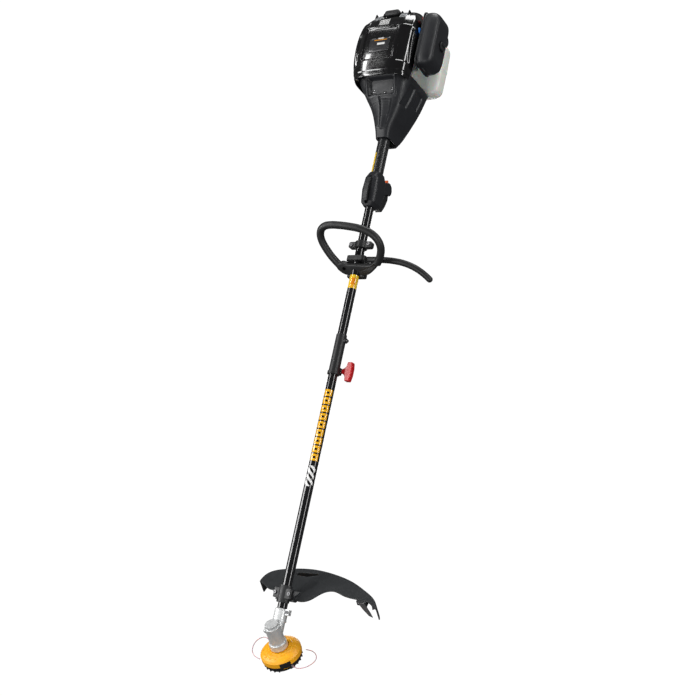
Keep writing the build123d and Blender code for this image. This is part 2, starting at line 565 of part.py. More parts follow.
BASE_PROFILE = ((BASE_R, BASE_TOP), (BASE_R, -66), (BASE_R - 3.5, BASE_BOTTOM), (26, BASE_BOTTOM),
                (26, BASE_BOTTOM + 2.4), (BASE_R - 5, BASE_BOTTOM + 2.4), (BASE_R - 2.6, -66),
                (BASE_R - 2.6, BASE_TOP))
BASE_RIBS = 24
RIB_CLEAR_ANGLE = 14
with BuildPart() as head_base:
    turned(BASE_PROFILE)
    for turn in (0, 180):
        radial_block(NOTCH_ANGLE + turn, LATCH_HALF, (BASE_R - 2.2, HEAD_R - 0.8), (-60, -45))
        radial_block(NOTCH_ANGLE + turn, LATCH_HALF - 1, (BASE_R - 5, BASE_R + 4), (-66, -61.5),
                     Mode.SUBTRACT)
        radial_block(LINE_ANGLE + turn, 6.5, (BASE_R - 3.5, BASE_R + 1.2), (LINE_D - 6, LINE_D + 6))
        rod(polar(LINE_ANGLE + turn, BASE_R - 7, LINE_D), 12, EYELET_R + SEAT, Mode.SUBTRACT)
    for index in range(BASE_RIBS):
        rib_angle = NOTCH_ANGLE + (index + 0.5) * 360 / BASE_RIBS
        from_line = abs((rib_angle - LINE_ANGLE + 90) % 180 - 90)
        from_notch = abs((rib_angle - NOTCH_ANGLE + 90) % 180 - 90)
        if min(from_line, from_notch) > RIB_CLEAR_ANGLE:
            radial_block(rib_angle, 1.3, (BASE_R - 1.5, BASE_R + 1.4), (-70, -56.5))
save(head_base, "head_base")

with BuildPart() as line_eyelets:
    for turn in (0, 180):
        rod(polar(LINE_ANGLE + turn, EYELET_REACH[0], LINE_D), EYELET_REACH[1] - EYELET_REACH[0], EYELET_R)
        rod(polar(LINE_ANGLE + turn, BASE_R - 9, LINE_D), 20, LINE_R, Mode.SUBTRACT)
save(line_eyelets, "line_eyelets")

SPOOL_R = BASE_R - 5.3
with BuildPart() as line_spool:
    disc(HEAD, -67.5, -49.5, 18.0)
    disc(HEAD, -67.5, -65.5, SPOOL_R)
    disc(HEAD, -59.5, -58.0, SPOOL_R)
    disc(HEAD, -51.5, -49.5, SPOOL_R)
    disc(HEAD, -70, -40, OUTPUT_R + GAP, mode=Mode.SUBTRACT)
    disc(HEAD, -60, -49, 13.0, mode=Mode.SUBTRACT)
save(line_spool, "line_spool")

KNOB_PROFILE = ((0, -88), (13, -88), (20, -85), (24, -79), (25, -74), (25, -70), (18, -67.5),
                (OUTPUT_R + GAP, -67.5), (OUTPUT_R + GAP, -76), (0, -76))
with BuildPart() as bump_knob:
    turned(KNOB_PROFILE)
save(bump_knob, "bump_knob")

SPRING_R = 9.5
SPRING_WIRE_R = 0.9
SPRING_D = (-60.0, -37.0)
with BuildPart() as spring_shape:
    with BuildLine() as coil:
        Helix(pitch=4.2, height=SPRING_D[1] - SPRING_D[0] - 2 * SPRING_WIRE_R - 0.4, radius=SPRING_R)
    with BuildSketch(Plane(origin=coil.line @ 0, z_dir=coil.line % 0)):
        Circle(SPRING_WIRE_R)
    sweep(path=coil.line)
with BuildPart() as bump_spring:
    add(spring_shape.part.moved(HEAD.offset(SPRING_D[0] + SPRING_WIRE_R + 0.2).location))
save(bump_spring, "bump_spring")

LINE_FIRST_R = 62.5
LINE_STARTS = (LINE_ANGLE, LINE_ANGLE + 180)
LINE_ROUTES = (
    ("trimmer_line_right", ((75, -24), (90, -8), (94, 12), (82, 29), (64, 37), (48, 36))),
    ("trimmer_line_left", ((-72, 46), (-90, 52), (-103, 40), (-104, 18), (-92, -6), (-74, -19),
                           (-56, -23))),
)


def corner_radii(points):
    """Radius at each inner point: 0.45 of its shorter run over the tangent of half the turn."""
    radii = []
    for before, here, after in zip(points, points[1:], points[2:]):
        run_in = here - before
        run_out = after - here
        half_turn = radians(run_in.get_angle(run_out)) / 2
        radii.append(0.45 * min(run_in.length, run_out.length) / tan(half_turn))
    return radii


for start_angle, (name, route) in zip(LINE_STARTS, LINE_ROUTES):
    start = HEAD.to_local_coords(polar(start_angle, EYELET_REACH[0], LINE_D).origin)
    first = HEAD.to_local_coords(polar(start_angle, LINE_FIRST_R, LINE_D).origin)
    points = [HEAD.from_local_coords(start), HEAD.from_local_coords(first)]
    points += [HEAD.from_local_coords(Vector(x, y, LINE_D)) for x, y in route]
    radii = corner_radii(points)
    print(name, "radii", [round(radius, 1) for radius in radii])
    with BuildPart() as trimmer_line:
        with BuildLine() as line_path:
            FilletPolyline(*points, radius=radii)
        with BuildSketch(Plane(origin=line_path.line @ 0, z_dir=line_path.line % 0)):
            Circle(LINE_R)
        sweep(path=line_path.line)
    line_length = line_path.wires()[0].length
    print(name, "length", round(line_length, 1), "volume ratio",
          round(trimmer_line.part.volume / (line_length * pi * LINE_R ** 2), 4))
    save(trimmer_line, name)

# ---- shield, its clamp and the line cutter ------------------------------------------------
SHIELD_OUTER = ((-112, 126), (-100, 166), (-60, 184), (10, 196), (80, 190), (140, 174), (190, 150),
                (228, 126), (250, 98))
SHIELD_INNER = ((243, 92), (222, 112), (180, 117), (140, 123), (108, 131), (90, 124), (76, 106), (62, 86),
                (42, 78), (24, 84))
SHIELD_LEFT = ((24, 90), (-24, 90), (-34, 100), (-70, 104), (-112, 126))
SLOT_CORNERS = ((-26, 166), (-22, 177), (34, 184), (40, 178), (12, 166))
SHIELD_Z = LOWER_TUBE_END + 58
BRACKET_OUTLINE = ((SPLIT_GAP, SHIELD_Z - 2), (24, SHIELD_Z + 12), (34, SHIELD_Z + 12), (52, SHIELD_Z + 18),
                   (30, SHIELD_Z - 5), (14, SHIELD_Z - 16), (SPLIT_GAP, SHIELD_Z - 16))
BLOCK_HALF = 19.0
SHIELD_SCREW_X = TUBE_R + 8.5
CUTTER_R = 112.0       # front face of the cutter's holder
CUTTER_WALL = 1.6
with BuildPart() as shield:
    with BuildSketch(HEAD.offset(SHIELD_D)):
        with BuildLine():
            Spline(*SHIELD_OUTER)
            Line(SHIELD_OUTER[-1], SHIELD_INNER[0])
            Spline(*SHIELD_INNER)
            Polyline(SHIELD_INNER[-1], *SHIELD_LEFT)
        make_face()
    extrude(amount=SHIELD_WALL)
    with BuildSketch(HEAD.offset(SHIELD_D - SHIELD_SKIRT)):
        with BuildLine():
            Spline(*SHIELD_OUTER)
        trace(line_width=SHIELD_WALL)
    extrude(amount=SHIELD_SKIRT + 1)
    prism(HEAD, SLOT_CORNERS, SHIELD_D - 1, SHIELD_D + 6, corner=2.5, mode=Mode.SUBTRACT)
    prism(Plane.YZ, BRACKET_OUTLINE, -BLOCK_HALF - 8, BLOCK_HALF + 8)
    prism(HEAD, ((186, CUTTER_R), (214, CUTTER_R), (212, CUTTER_R + 12), (188, CUTTER_R + 14)),
          SHIELD_D - 12, SHIELD_D + 1)
    disc(Plane.XY, SHIELD_Z - 150, SHIELD_Z + 150, TUBE_R + SEAT, mode=Mode.SUBTRACT)
    for side in (-1, 1):
        rod(Plane(origin=(side * SHIELD_SCREW_X, -30, SHIELD_Z), z_dir=(0, 1, 0)), 44,
            SCREW_R + SEAT, Mode.SUBTRACT)
save(shield, "shield")

with BuildPart() as shield_clamp:
    block((-BLOCK_HALF - 8, BLOCK_HALF + 8), (-15, -SPLIT_GAP), (SHIELD_Z - 12, SHIELD_Z + 12), corner=4)
    disc(Plane.XY, SHIELD_Z - 22, SHIELD_Z + 20, TUBE_R + 5.5)
    block((-40, 40), (-SPLIT_GAP, 60), (SHIELD_Z - 30, SHIELD_Z + 30), mode=Mode.SUBTRACT)
    disc(Plane.XY, SHIELD_Z - 40, SHIELD_Z + 30, TUBE_R + SEAT, mode=Mode.SUBTRACT)
    for side in (-1, 1):
        rod(Plane(origin=(side * SHIELD_SCREW_X, -30, SHIELD_Z), z_dir=(0, 1, 0)), 44,
            SCREW_R + SEAT, Mode.SUBTRACT)
save(shield_clamp, "shield_clamp")

CUTTER_PLANE = Plane(origin=HEAD.from_local_coords(Vector(0, CUTTER_R - CUTTER_WALL, 0)), x_dir=(1, 0, 0),
                     z_dir=HEAD.y_dir)
CUTTER_OUTLINE = ((190, -50), (210, -50), (214, -38), (216, -30), (219, -22), (222, -8), (212, -12),
                  (200, -30))
with BuildPart() as line_cutter:
    prism(CUTTER_PLANE, CUTTER_OUTLINE, 0, CUTTER_WALL)
save(line_cutter, "line_cutter")

with BuildPart() as clamp_screws:
    for side in (-1, 1):
        screw(Plane(origin=(side * CLAMP_SCREW_X, -8, 0), z_dir=(0, -1, 0)), 20)
        screw(Plane(origin=(side * SHIELD_SCREW_X, -15, SHIELD_Z), z_dir=(0, -1, 0)), 24)
    screw(Plane(origin=(20.5, -6, EAR_SCREW_Z), z_dir=(0, -1, 0)), 14)
    screw(Plane(origin=(-24, -14, GEAR_Z + 9), z_dir=(-1, 0, 0)), 4)
save(clamp_screws, "clamp_screws")

# ---- clutch housing and clutch --------------------------------------------------------------
NECK = (
    (322, -GRIP_R - 2.5, GRIP_R + 2.5, -GRIP_R - 2.5, 44, 12),
    (350, -24, 26, -31, 60, 13),
    (400, -42, 46, -44, 70, 18),
    (440, -66, 62, -60, 76, 24),
    (492, -94, 74, -84, 84, 28),
)
with BuildPart() as clutch_housing:
    sections(NECK)
    sections(NECK[1:], HOUSING_WALL, Mode.SUBTRACT)
    disc(Plane.XY, 349, UPPER_TUBE_TOP + 6, TUBE_R + 4)
    disc(Plane.XY, 300, UPPER_TUBE_TOP + 20, TUBE_R + SEAT, mode=Mode.SUBTRACT)
    disc(Plane.XY, 300, GRIP_Z[1] + 0.2, GRIP_R + SEAT, mode=Mode.SUBTRACT)
save(clutch_housing, "clutch_housing")

with BuildPart() as clutch_drum:
    disc(Plane.XY, *DRUM_Z, DRUM_R, DRUM_R - DRUM_WALL)
    disc(Plane.XY, DRUM_Z[0] - 3, DRUM_Z[0], DRUM_R, DRIVE_R + SEAT)
    disc(Plane.XY, DRUM_Z[0] - 16, DRUM_Z[0] - 3, 8.0, DRIVE_R + SEAT)
save(clutch_drum, "clutch_drum")

CRANK_LOW = DRUM_Z[0] + 4
with BuildPart() as clutch_shoes:
    disc(Plane.XY, DRUM_Z[0] + 6, DRUM_Z[1] - 4, DRUM_R - DRUM_WALL - 1, CRANK_R + SEAT)
    block((-2, 2), (-40, 40), (DRUM_Z[0], DRUM_Z[1]), mode=Mode.SUBTRACT)
    for side in (-1, 1):
        with BuildSketch(Plane.XY.offset(DRUM_Z[0])) as window:
            with Locations((side * 17, 0)):
                SlotOverall(16, 7, rotation=90)
        extrude(window.sketch, amount=40, mode=Mode.SUBTRACT)
save(clutch_shoes, "clutch_shoes")

# ---- engine block, crank, cylinder ----------------------------------------------------------
CYLINDER_Z = (CRANKCASE_Z[0] + CRANKCASE_Z[1]) / 2
CYLINDER_PLANE = Plane(origin=(0, 0, CYLINDER_Z), x_dir=(1, 0, 0), z_dir=(0, -1, 0))
CYLINDER_Y = (39, 96)
FIN_COUNT = 7
FIN_HALF = 31.0
with BuildPart() as crankcase:
    disc(Plane.XY, *CRANKCASE_Z, CRANKCASE_R)
    block((-58, 58), (-34, 34), (CRANKCASE_Z[0] - 8, CRANKCASE_Z[0]), corner=10)
    block((-26, 26), (-CYLINDER_Y[0], 0), (CYLINDER_Z - 26, CYLINDER_Z + 26))
    disc(Plane.XY, CRANKCASE_Z[0] + 8, CRANKCASE_Z[1] - 8, CRANKCASE_R - 5, mode=Mode.SUBTRACT)
    rod(CYLINDER_PLANE, 60, BORE_R + 1, Mode.SUBTRACT)
    disc(Plane.XY, CRANKCASE_Z[0] - 20, CRANKCASE_Z[1] + 20, CRANK_R + RUN, mode=Mode.SUBTRACT)
save(crankcase, "crankcase")

WEB_R = 27.0
PIN_THROW = 14.0
with BuildPart() as crankshaft:
    disc(Plane.XY, CRANK_LOW, CYLINDER_Z - 7, CRANK_R)
    disc(Plane.XY, CYLINDER_Z + 7, 628, CRANK_R)
    for low in (CYLINDER_Z - 17, CYLINDER_Z + 7):
        with BuildSketch(Plane.XY.offset(low)):
            Circle(WEB_R)
            with Locations((0, -WEB_R)):
                Rectangle(2 * WEB_R, WEB_R, mode=Mode.SUBTRACT)
            with Locations((0, -PIN_THROW)):
                Circle(9)
            Circle(11)
        extrude(amount=10)
    disc(Plane.XY.move(Location((0, -PIN_THROW, 0))), CYLINDER_Z - 8, CYLINDER_Z + 8, 5.0)
save(crankshaft, "crankshaft")

with BuildPart() as cylinder:
    disc(CYLINDER_PLANE, CYLINDER_Y[0], CYLINDER_Y[1] - 8, BORE_R + 4)
    for index in range(FIN_COUNT):
        fin = CYLINDER_Y[0] + 2 + index * 7
        with BuildSketch(CYLINDER_PLANE.offset(fin)):
            RectangleRounded(2 * FIN_HALF, 2 * FIN_HALF, 8)
        extrude(amount=2.2)
    disc(CYLINDER_PLANE, CYLINDER_Y[0] - 1, CYLINDER_Y[1] - 14, BORE_R, mode=Mode.SUBTRACT)
    disc(CYLINDER_PLANE, CYLINDER_Y[1] - 16, CYLINDER_Y[1], 5.0, mode=Mode.SUBTRACT)
    block((-50, 50), (-CYLINDER_Y[0], 0), (CYLINDER_Z - 50, CYLINDER_Z + 50), mode=Mode.SUBTRACT)
save(cylinder, "cylinder")

with BuildPart() as piston:
    disc(CYLINDER_PLANE, 56, 79, BORE_R - RUN)
    disc(CYLINDER_PLANE, 55, 75, BORE_R - 3, mode=Mode.SUBTRACT)
save(piston, "piston")

with BuildPart() as spark_plug:
    disc(CYLINDER_PLANE, CYLINDER_Y[1] - 12, CYLINDER_Y[1] - 7.8, 4.9)
    with BuildSketch(CYLINDER_PLANE.offset(CYLINDER_Y[1] - 7.8)):
        RegularPolygon(9, 6)
    extrude(amount=6)
    disc(CYLINDER_PLANE, CYLINDER_Y[1] - 2, CYLINDER_Y[1] + 12, 7.5)
save(spark_plug, "spark_plug")

FLYWHEEL_BLADES = 14
with BuildPart() as flywheel:
    disc(Plane.XY, *FLYWHEEL_Z, FLYWHEEL_R, CRANK_R + SEAT)
    disc(Plane.XY, FLYWHEEL_Z[0] - 1, FLYWHEEL_Z[0] + 10, FLYWHEEL_R - 6, 16, Mode.SUBTRACT)
    with BuildSketch(Plane.XY.offset(FLYWHEEL_Z[1])):
        with PolarLocations(FLYWHEEL_R - 12, FLYWHEEL_BLADES):
            Rectangle(20, 2)
    extrude(amount=9)
save(flywheel, "flywheel")

# ---- recoil starter ---------------------------------------------------------------------------
STARTER = (
    (619, -74, 76, -70, 48, 26),
    (664, -73, 75, -69, 47, 26),
    (700, -56, 58, -54, 42, 24),
)
AXLE_R = 6.0
with BuildPart() as starter_housing:
    sections(STARTER)
    sections(((618, *STARTER[0][1:]), STARTER[1], (697, *STARTER[2][1:])), HOUSING_WALL, Mode.SUBTRACT)
    disc(Plane.XY, PULLEY_Z[0] - 4, 698, AXLE_R)
    disc(Plane.XY, PULLEY_Z[1] + GAP, 698, AXLE_R + 4)
    with BuildSketch(Plane.XY.offset(690)):
        with PolarLocations(30, 18):
            SlotOverall(24, 4)
    extrude(amount=20, mode=Mode.SUBTRACT)
    rod(Plane(origin=(0, -50, 674), z_dir=(0, -1, 0)), 40, 4.0, Mode.SUBTRACT)
save(starter_housing, "starter_housing")

ROPE_R = 1.6
with BuildPart() as starter_pulley:
    disc(Plane.XY, *PULLEY_Z, PULLEY_R, AXLE_R + RUN)
    disc(Plane.XY, PULLEY_Z[0] + 3, PULLEY_Z[1] - 3, PULLEY_R + 1, PULLEY_R - 7, Mode.SUBTRACT)
save(starter_pulley, "starter_pulley")

with BuildPart() as starter_handle:
    rod(Plane(origin=(0, -60, 674), z_dir=(0, -1, 0)), 26, ROPE_R)
    with BuildSketch(Plane(origin=(0, -84, 674), x_dir=(1, 0, 0), z_dir=(0, -1, 0))):
        SlotOverall(48, 17)
    extrude(amount=19)
    fillet(starter_handle.faces().sort_by(Axis.Y)[0].edges(), 5)
save(starter_handle, "starter_handle")

# ---- engine cover -------------------------------------------------------------------------------
COVER = (
    (493, -86, 78, -108, 24, 30),
    (510, -94, 86, -117, 30, 36),
    (560, -97, 90, -120, 34, 38),
    (636, -92, 87, -113, 34, 36),
    (676, -75, 74, -96, 24, 28),
)
OPEN_SIDE_Y = -64.0
with BuildPart() as engine_cover:
    sections(COVER)
    sections(((492, *COVER[0][1:]), *COVER[1:4], (673, *COVER[4][1:])), HOUSING_WALL, Mode.SUBTRACT)
    block((40, 120), (OPEN_SIDE_Y, 60), (470, 690), mode=Mode.SUBTRACT)
    block((-120, 120), (8, 60), (470, 690), mode=Mode.SUBTRACT)
    block((-77, 79), (-73, 60), (665, 690), mode=Mode.SUBTRACT)
    block((-30, 30), (-130, -60), (652, 690), mode=Mode.SUBTRACT)
    for side in (-1, 1):
        for step in range(4):
            block((side * (46 + 6 * step) - 1.6, side * (46 + 6 * step) + 1.6), (-110, -84), (660, 690),
                  mode=Mode.SUBTRACT)
save(engine_cover, "engine_cover")

with BuildPart() as muffler:
    block((-84, -35), (-82, -24), (CYLINDER_Z - 36, CYLINDER_Z + 36), corner=9)
    fillet(muffler.faces().sort_by(Axis.Z)[-1].edges() + muffler.faces().sort_by(Axis.Z)[0].edges(), 4)
    block((-36, -33), (-70, -44), (CYLINDER_Z - 14, CYLINDER_Z + 14))
    rod(Plane(origin=(-60, -53, CYLINDER_Z - 30), z_dir=(0, 0, -1)), 14, 5.0)
save(muffler, "muffler")

# ---- carburettor, air filter and their controls ---------------------------------------------------
FILTER_X = (96, 99, 142)
FILTER_Y = (-84, 4)
FILTER_Z = (510, 678)
CARB_Y = -46
with BuildPart() as carburetor:
    block((FIN_HALF + 1, 48), (CARB_Y - 15, CARB_Y + 4), (CYLINDER_Z - 16, CYLINDER_Z + 16), corner=3)
    block((48, 80), (CARB_Y - 15, CARB_Y + 19), (CYLINDER_Z - 22, CYLINDER_Z + 22), corner=4)
    rod(Plane(origin=(65, CARB_Y, CYLINDER_Z + 20), z_dir=(0, 0, 1)), 14, 6.0)
    rod(Plane(origin=(65, CARB_Y, CYLINDER_Z - 20), z_dir=(0, 0, -1)), 8, 9.0)
    rod(Plane(origin=(80, CARB_Y, CYLINDER_Z), z_dir=(1, 0, 0)), FILTER_X[0] - 80, 14.0)
save(carburetor, "carburetor")

CHOKE_PIVOT = (-58, 606)
PRIMER_X = 88.8
PRIMER_Y = -58
PRIMER_Z = 662
PRIMER_STEM_R = 2.5
PRIMER_TRAVEL = 3.0
PRIMER_PLANE = Plane(origin=(PRIMER_X, PRIMER_Y, PRIMER_Z), z_dir=(0, -1, 0))
with BuildPart() as filter_base:
    with BuildSketch(Plane.YZ.offset(FILTER_X[0])):
        with Locations((sum(FILTER_Y) / 2, sum(FILTER_Z) / 2)):
            RectangleRounded(FILTER_Y[1] - FILTER_Y[0], FILTER_Z[1] - FILTER_Z[0], 16)
    extrude(amount=FILTER_X[1] - FILTER_X[0])
    block((PRIMER_X - 6, FILTER_X[0] + 1), (PRIMER_Y, PRIMER_Y + 4), (PRIMER_Z - 8, PRIMER_Z + 8))
    rod(PRIMER_PLANE.offset(-5), 10, PRIMER_STEM_R + RUN, Mode.SUBTRACT)
    with Locations(Plane(origin=(FILTER_X[0] + 1.5, *CHOKE_PIVOT), z_dir=(1, 0, 0))):
        Cylinder(3 + RUN, 20, mode=Mode.SUBTRACT)
save(filter_base, "filter_base")


def filter_rings(inset, near, far):
    """Rings of the air filter cover, which narrows away from its base."""
    faces = []
    for x, shrink, corner in ((near, 0, 16), (near + 22, 1, 18), (far, 16, 20)):
        with BuildSketch(Plane.YZ.offset(x)) as ring:
            with Locations((sum(FILTER_Y) / 2 + shrink * 0.3, sum(FILTER_Z) / 2)):
                RectangleRounded(FILTER_Y[1] - FILTER_Y[0] - shrink - 2 * inset,
                                 FILTER_Z[1] - FILTER_Z[0] - 1.4 * shrink - 2 * inset, corner - inset)
        faces.append(ring.sketch.face())
    return faces


KNOB_SPOT = (-30, 588)
FILTER_KNOB_R = 13.0
with BuildPart() as air_filter_cover:
    loft(filter_rings(0, FILTER_X[1], FILTER_X[2]), ruled=True)
    loft(filter_rings(HOUSING_WALL, FILTER_X[1] - 0.01, FILTER_X[2] - 3), ruled=True, mode=Mode.SUBTRACT)
    disc(Plane(origin=(0, *KNOB_SPOT), z_dir=(1, 0, 0)), 128, 140.5, FILTER_KNOB_R + 3)
    disc(Plane(origin=(0, *KNOB_SPOT), z_dir=(1, 0, 0)), 132, 150, FILTER_KNOB_R + GAP, mode=Mode.SUBTRACT)
    disc(Plane(origin=(0, *KNOB_SPOT), z_dir=(1, 0, 0)), 120, 140, 4.0 + RUN, mode=Mode.SUBTRACT)
save(air_filter_cover, "air_filter_cover")

with BuildPart() as filter_knob:
    disc(Plane(origin=(0, *KNOB_SPOT), z_dir=(1, 0, 0)), 132.6, 146, FILTER_KNOB_R)
    fillet(filter_knob.faces().sort_by(Axis.X)[-1].edges(), 2)
    disc(Plane(origin=(0, *KNOB_SPOT), z_dir=(1, 0, 0)), 122, 133, 4.0)
    with Locations(Plane(origin=(146, *KNOB_SPOT), z_dir=(1, 0, 0))):
        Box(3, 20, 5, mode=Mode.SUBTRACT)
save(filter_knob, "filter_knob")

CHOKE_ARM = ((-58, 602), (-84, 606), (-90, 612), (-90, 618), (-84, 618), (-58, 612))
with BuildPart() as choke_lever:
    disc(Plane(origin=(0, *CHOKE_PIVOT), z_dir=(1, 0, 0)), 92.2, 95.4, 6.5)
    disc(Plane(origin=(0, *CHOKE_PIVOT), z_dir=(1, 0, 0)), 90.4, FILTER_X[1] - 0.2, 3.0)
    prism(Plane.YZ, CHOKE_ARM, 92.2, 95.4, corner=1.5)
save(choke_lever, "choke_lever")

with BuildPart() as primer_bulb:
    disc(PRIMER_PLANE, PRIMER_TRAVEL + GAP, PRIMER_TRAVEL + 3, 6.5)
    disc(PRIMER_PLANE, PRIMER_TRAVEL + GAP, PRIMER_TRAVEL + 11, 5.4)
    fillet(primer_bulb.faces().sort_by(Axis.Y)[0].edges(), 4)
    disc(PRIMER_PLANE, -4, PRIMER_TRAVEL + GAP, PRIMER_STEM_R)
save(primer_bulb, "primer_bulb")

# ---- fuel tank ------------------------------------------------------------------------------------
TANK = (
    (500, -66, 90, 54, 92, 14),
    (516, -72, 102, 50, 98, 18),
    (640, -72, 102, 50, 98, 18),
    (664, -64, 92, 54, 92, 14),
)
NECK_SPOT = (30, 649)
CAP_R = 18.0
TANK_WALL = 2.4
with BuildPart() as fuel_tank:
    sections(TANK)
    block((79, 90), (10, 60), (629, 662), corner=3)
    sections(((503, *TANK[0][1:]), TANK[1], TANK[2], (661, *TANK[3][1:])), TANK_WALL, Mode.SUBTRACT)
    disc(Plane(origin=(0, *NECK_SPOT), z_dir=(1, 0, 0)), 90, 98, 12.0)
    disc(Plane(origin=(0, *NECK_SPOT), z_dir=(1, 0, 0)), 84, 99, 9.0, mode=Mode.SUBTRACT)
save(fuel_tank, "fuel_tank")

CAP_RIBS = 12
with BuildPart() as fuel_cap:
    disc(Plane(origin=(0, *NECK_SPOT), z_dir=(1, 0, 0)), 91.5, 114, CAP_R)
    fillet(fuel_cap.faces().sort_by(Axis.X)[-1].edges(), 3)
    disc(Plane(origin=(0, *NECK_SPOT), z_dir=(1, 0, 0)), 91, 98 + GAP, 12.0 + RUN, mode=Mode.SUBTRACT)
    with BuildSketch(Plane(origin=(93, *NECK_SPOT), z_dir=(1, 0, 0))):
        with PolarLocations(CAP_R, CAP_RIBS):
            Circle(1.8)
    extrude(amount=17)
save(fuel_cap, "fuel_cap")
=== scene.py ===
"""Petrol string trimmer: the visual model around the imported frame."""
from math import cos, pi, radians, sin

import bmesh
import bpy
from mathutils import Matrix, Vector


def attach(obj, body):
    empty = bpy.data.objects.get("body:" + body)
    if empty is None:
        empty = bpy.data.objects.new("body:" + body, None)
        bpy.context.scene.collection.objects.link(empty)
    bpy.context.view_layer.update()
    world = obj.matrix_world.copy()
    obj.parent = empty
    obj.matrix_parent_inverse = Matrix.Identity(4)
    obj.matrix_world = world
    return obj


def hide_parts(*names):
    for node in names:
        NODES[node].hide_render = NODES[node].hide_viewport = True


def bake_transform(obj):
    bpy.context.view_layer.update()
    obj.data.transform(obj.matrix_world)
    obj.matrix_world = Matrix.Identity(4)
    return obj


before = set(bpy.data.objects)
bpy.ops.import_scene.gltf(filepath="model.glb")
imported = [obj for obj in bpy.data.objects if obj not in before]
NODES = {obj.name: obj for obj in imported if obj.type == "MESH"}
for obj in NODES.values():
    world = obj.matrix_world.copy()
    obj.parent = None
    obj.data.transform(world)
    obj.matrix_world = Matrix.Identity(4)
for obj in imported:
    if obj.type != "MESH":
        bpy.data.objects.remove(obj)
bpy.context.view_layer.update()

MM = 0.001

# ---- head frame: the head axis leans from the shaft, and crosses it at GEAR_Z ---------------
HEAD_TILT = radians(50)
GEAR_Z = -1.056
HEAD_X = Vector((1, 0, 0))
HEAD_Y = Vector((0, cos(HEAD_TILT), sin(HEAD_TILT)))
HEAD_UP = Vector((0, -sin(HEAD_TILT), cos(HEAD_TILT)))


def on_head(x, y, along):
    """Point from millimetres in the head's own frame."""
    return Vector((0, 0, GEAR_Z)) + (HEAD_X * x + HEAD_Y * y + HEAD_UP * along) * MM


# ---- camera and light ------------------------------------------------------------------
CAMERA_RIGHT = (0.84628687, 0.49255072, 0.20295891)
CAMERA_UP = (-0.023799, -0.34564478, 0.93806359)
CAMERA_BACK = (0.53219558, -0.79870112, -0.28079243)
CAMERA_PLACE = (1.64338, -2.42429, -1.14858)
CAMERA_LENS = 59.53


def add_camera():
    """Camera at the photograph's viewing angle."""
    data = bpy.data.cameras.new("view_camera")
    data.lens = CAMERA_LENS
    data.sensor_width = 36.0
    data.clip_start = 0.05
    data.clip_end = 60.0
    camera = bpy.data.objects.new("view_camera", data)
    turn = Matrix((CAMERA_RIGHT, CAMERA_UP, CAMERA_BACK)).transposed().to_4x4()
    camera.matrix_world = Matrix.Translation(CAMERA_PLACE) @ turn
    bpy.context.collection.objects.link(camera)
    bpy.context.scene.camera = camera


def add_light(name, place, target, size, power, tint=(1.0, 1.0, 1.0)):
    """Soft rectangular studio light that looks at a point."""
    data = bpy.data.lights.new(name, "AREA")
    data.shape = "RECTANGLE"
    data.size, data.size_y = size
    data.energy = power
    data.color = tint
    light = bpy.data.objects.new(name, data)
    aim = Vector(target) - Vector(place)
    light.matrix_world = Matrix.Translation(place) @ aim.to_track_quat("-Z", "Y").to_matrix().to_4x4()
    bpy.context.collection.objects.link(light)


def add_world():
    """White surroundings, dimmer in reflections so that gloss black stays black."""
    world = bpy.data.worlds.new("studio")
    world.use_nodes = True
    bpy.context.scene.world = world
    nodes, links = world.node_tree.nodes, world.node_tree.links
    background = nodes["Background"]
    background.inputs["Color"].default_value = (1, 1, 1, 1)
    rays = nodes.new("ShaderNodeLightPath")
    level = nodes.new("ShaderNodeMapRange")
    level.inputs["To Min"].default_value = 0.10
    level.inputs["To Max"].default_value = 1.05
    links.new(rays.outputs["Is Camera Ray"], level.inputs["Value"])
    links.new(level.outputs["Result"], background.inputs["Strength"])


# ---- materials ----------------------------------------------------------------------------------
def node(tree, kind, **values):
    """Shader node with named input values."""
    made = tree.nodes.new("ShaderNode" + kind)
    for name, value in values.items():
        made.inputs[name.replace("_", " ")].default_value = value
    return made


def math_node(tree, operation, first, second=None):
    """Math node whose inputs are sockets or numbers."""
    made = tree.nodes.new("ShaderNodeMath")
    made.operation = operation
    for socket, value in zip(made.inputs, (first, second)):
        if value is None:
            continue
        if isinstance(value, (int, float)):
            socket.default_value = value
        else:
            tree.links.new(value, socket)
    return made.outputs[0]


def mixed(tree, factor, first, second):
    """Mix of two colours, each a socket or a tuple."""
    made = tree.nodes.new("ShaderNodeMix")
    made.data_type = "RGBA"
    tree.links.new(factor, made.inputs["Factor"])
    for socket, value in ((made.inputs[6], first), (made.inputs[7], second)):
        if isinstance(value, tuple):
            socket.default_value = (*value, 1.0)
        else:
            tree.links.new(value, socket)
    return made.outputs[2]


def noise(tree, coordinates, scale, detail=4.0, roughness=0.55):
    """Noise pattern between 0 and 1."""
    made = node(tree, "TexNoise", Scale=scale, Detail=detail, Roughness=roughness)
    tree.links.new(coordinates, made.inputs["Vector"])
    return made.outputs["Fac"]


def ranged(tree, value, low, high, to_low, to_high):
    """Value mapped from one range to another, and clamped."""
    made = node(tree, "MapRange", From_Min=low, From_Max=high, To_Min=to_low, To_Max=to_high)
    tree.links.new(value, made.inputs["Value"])
    return made.outputs["Result"]


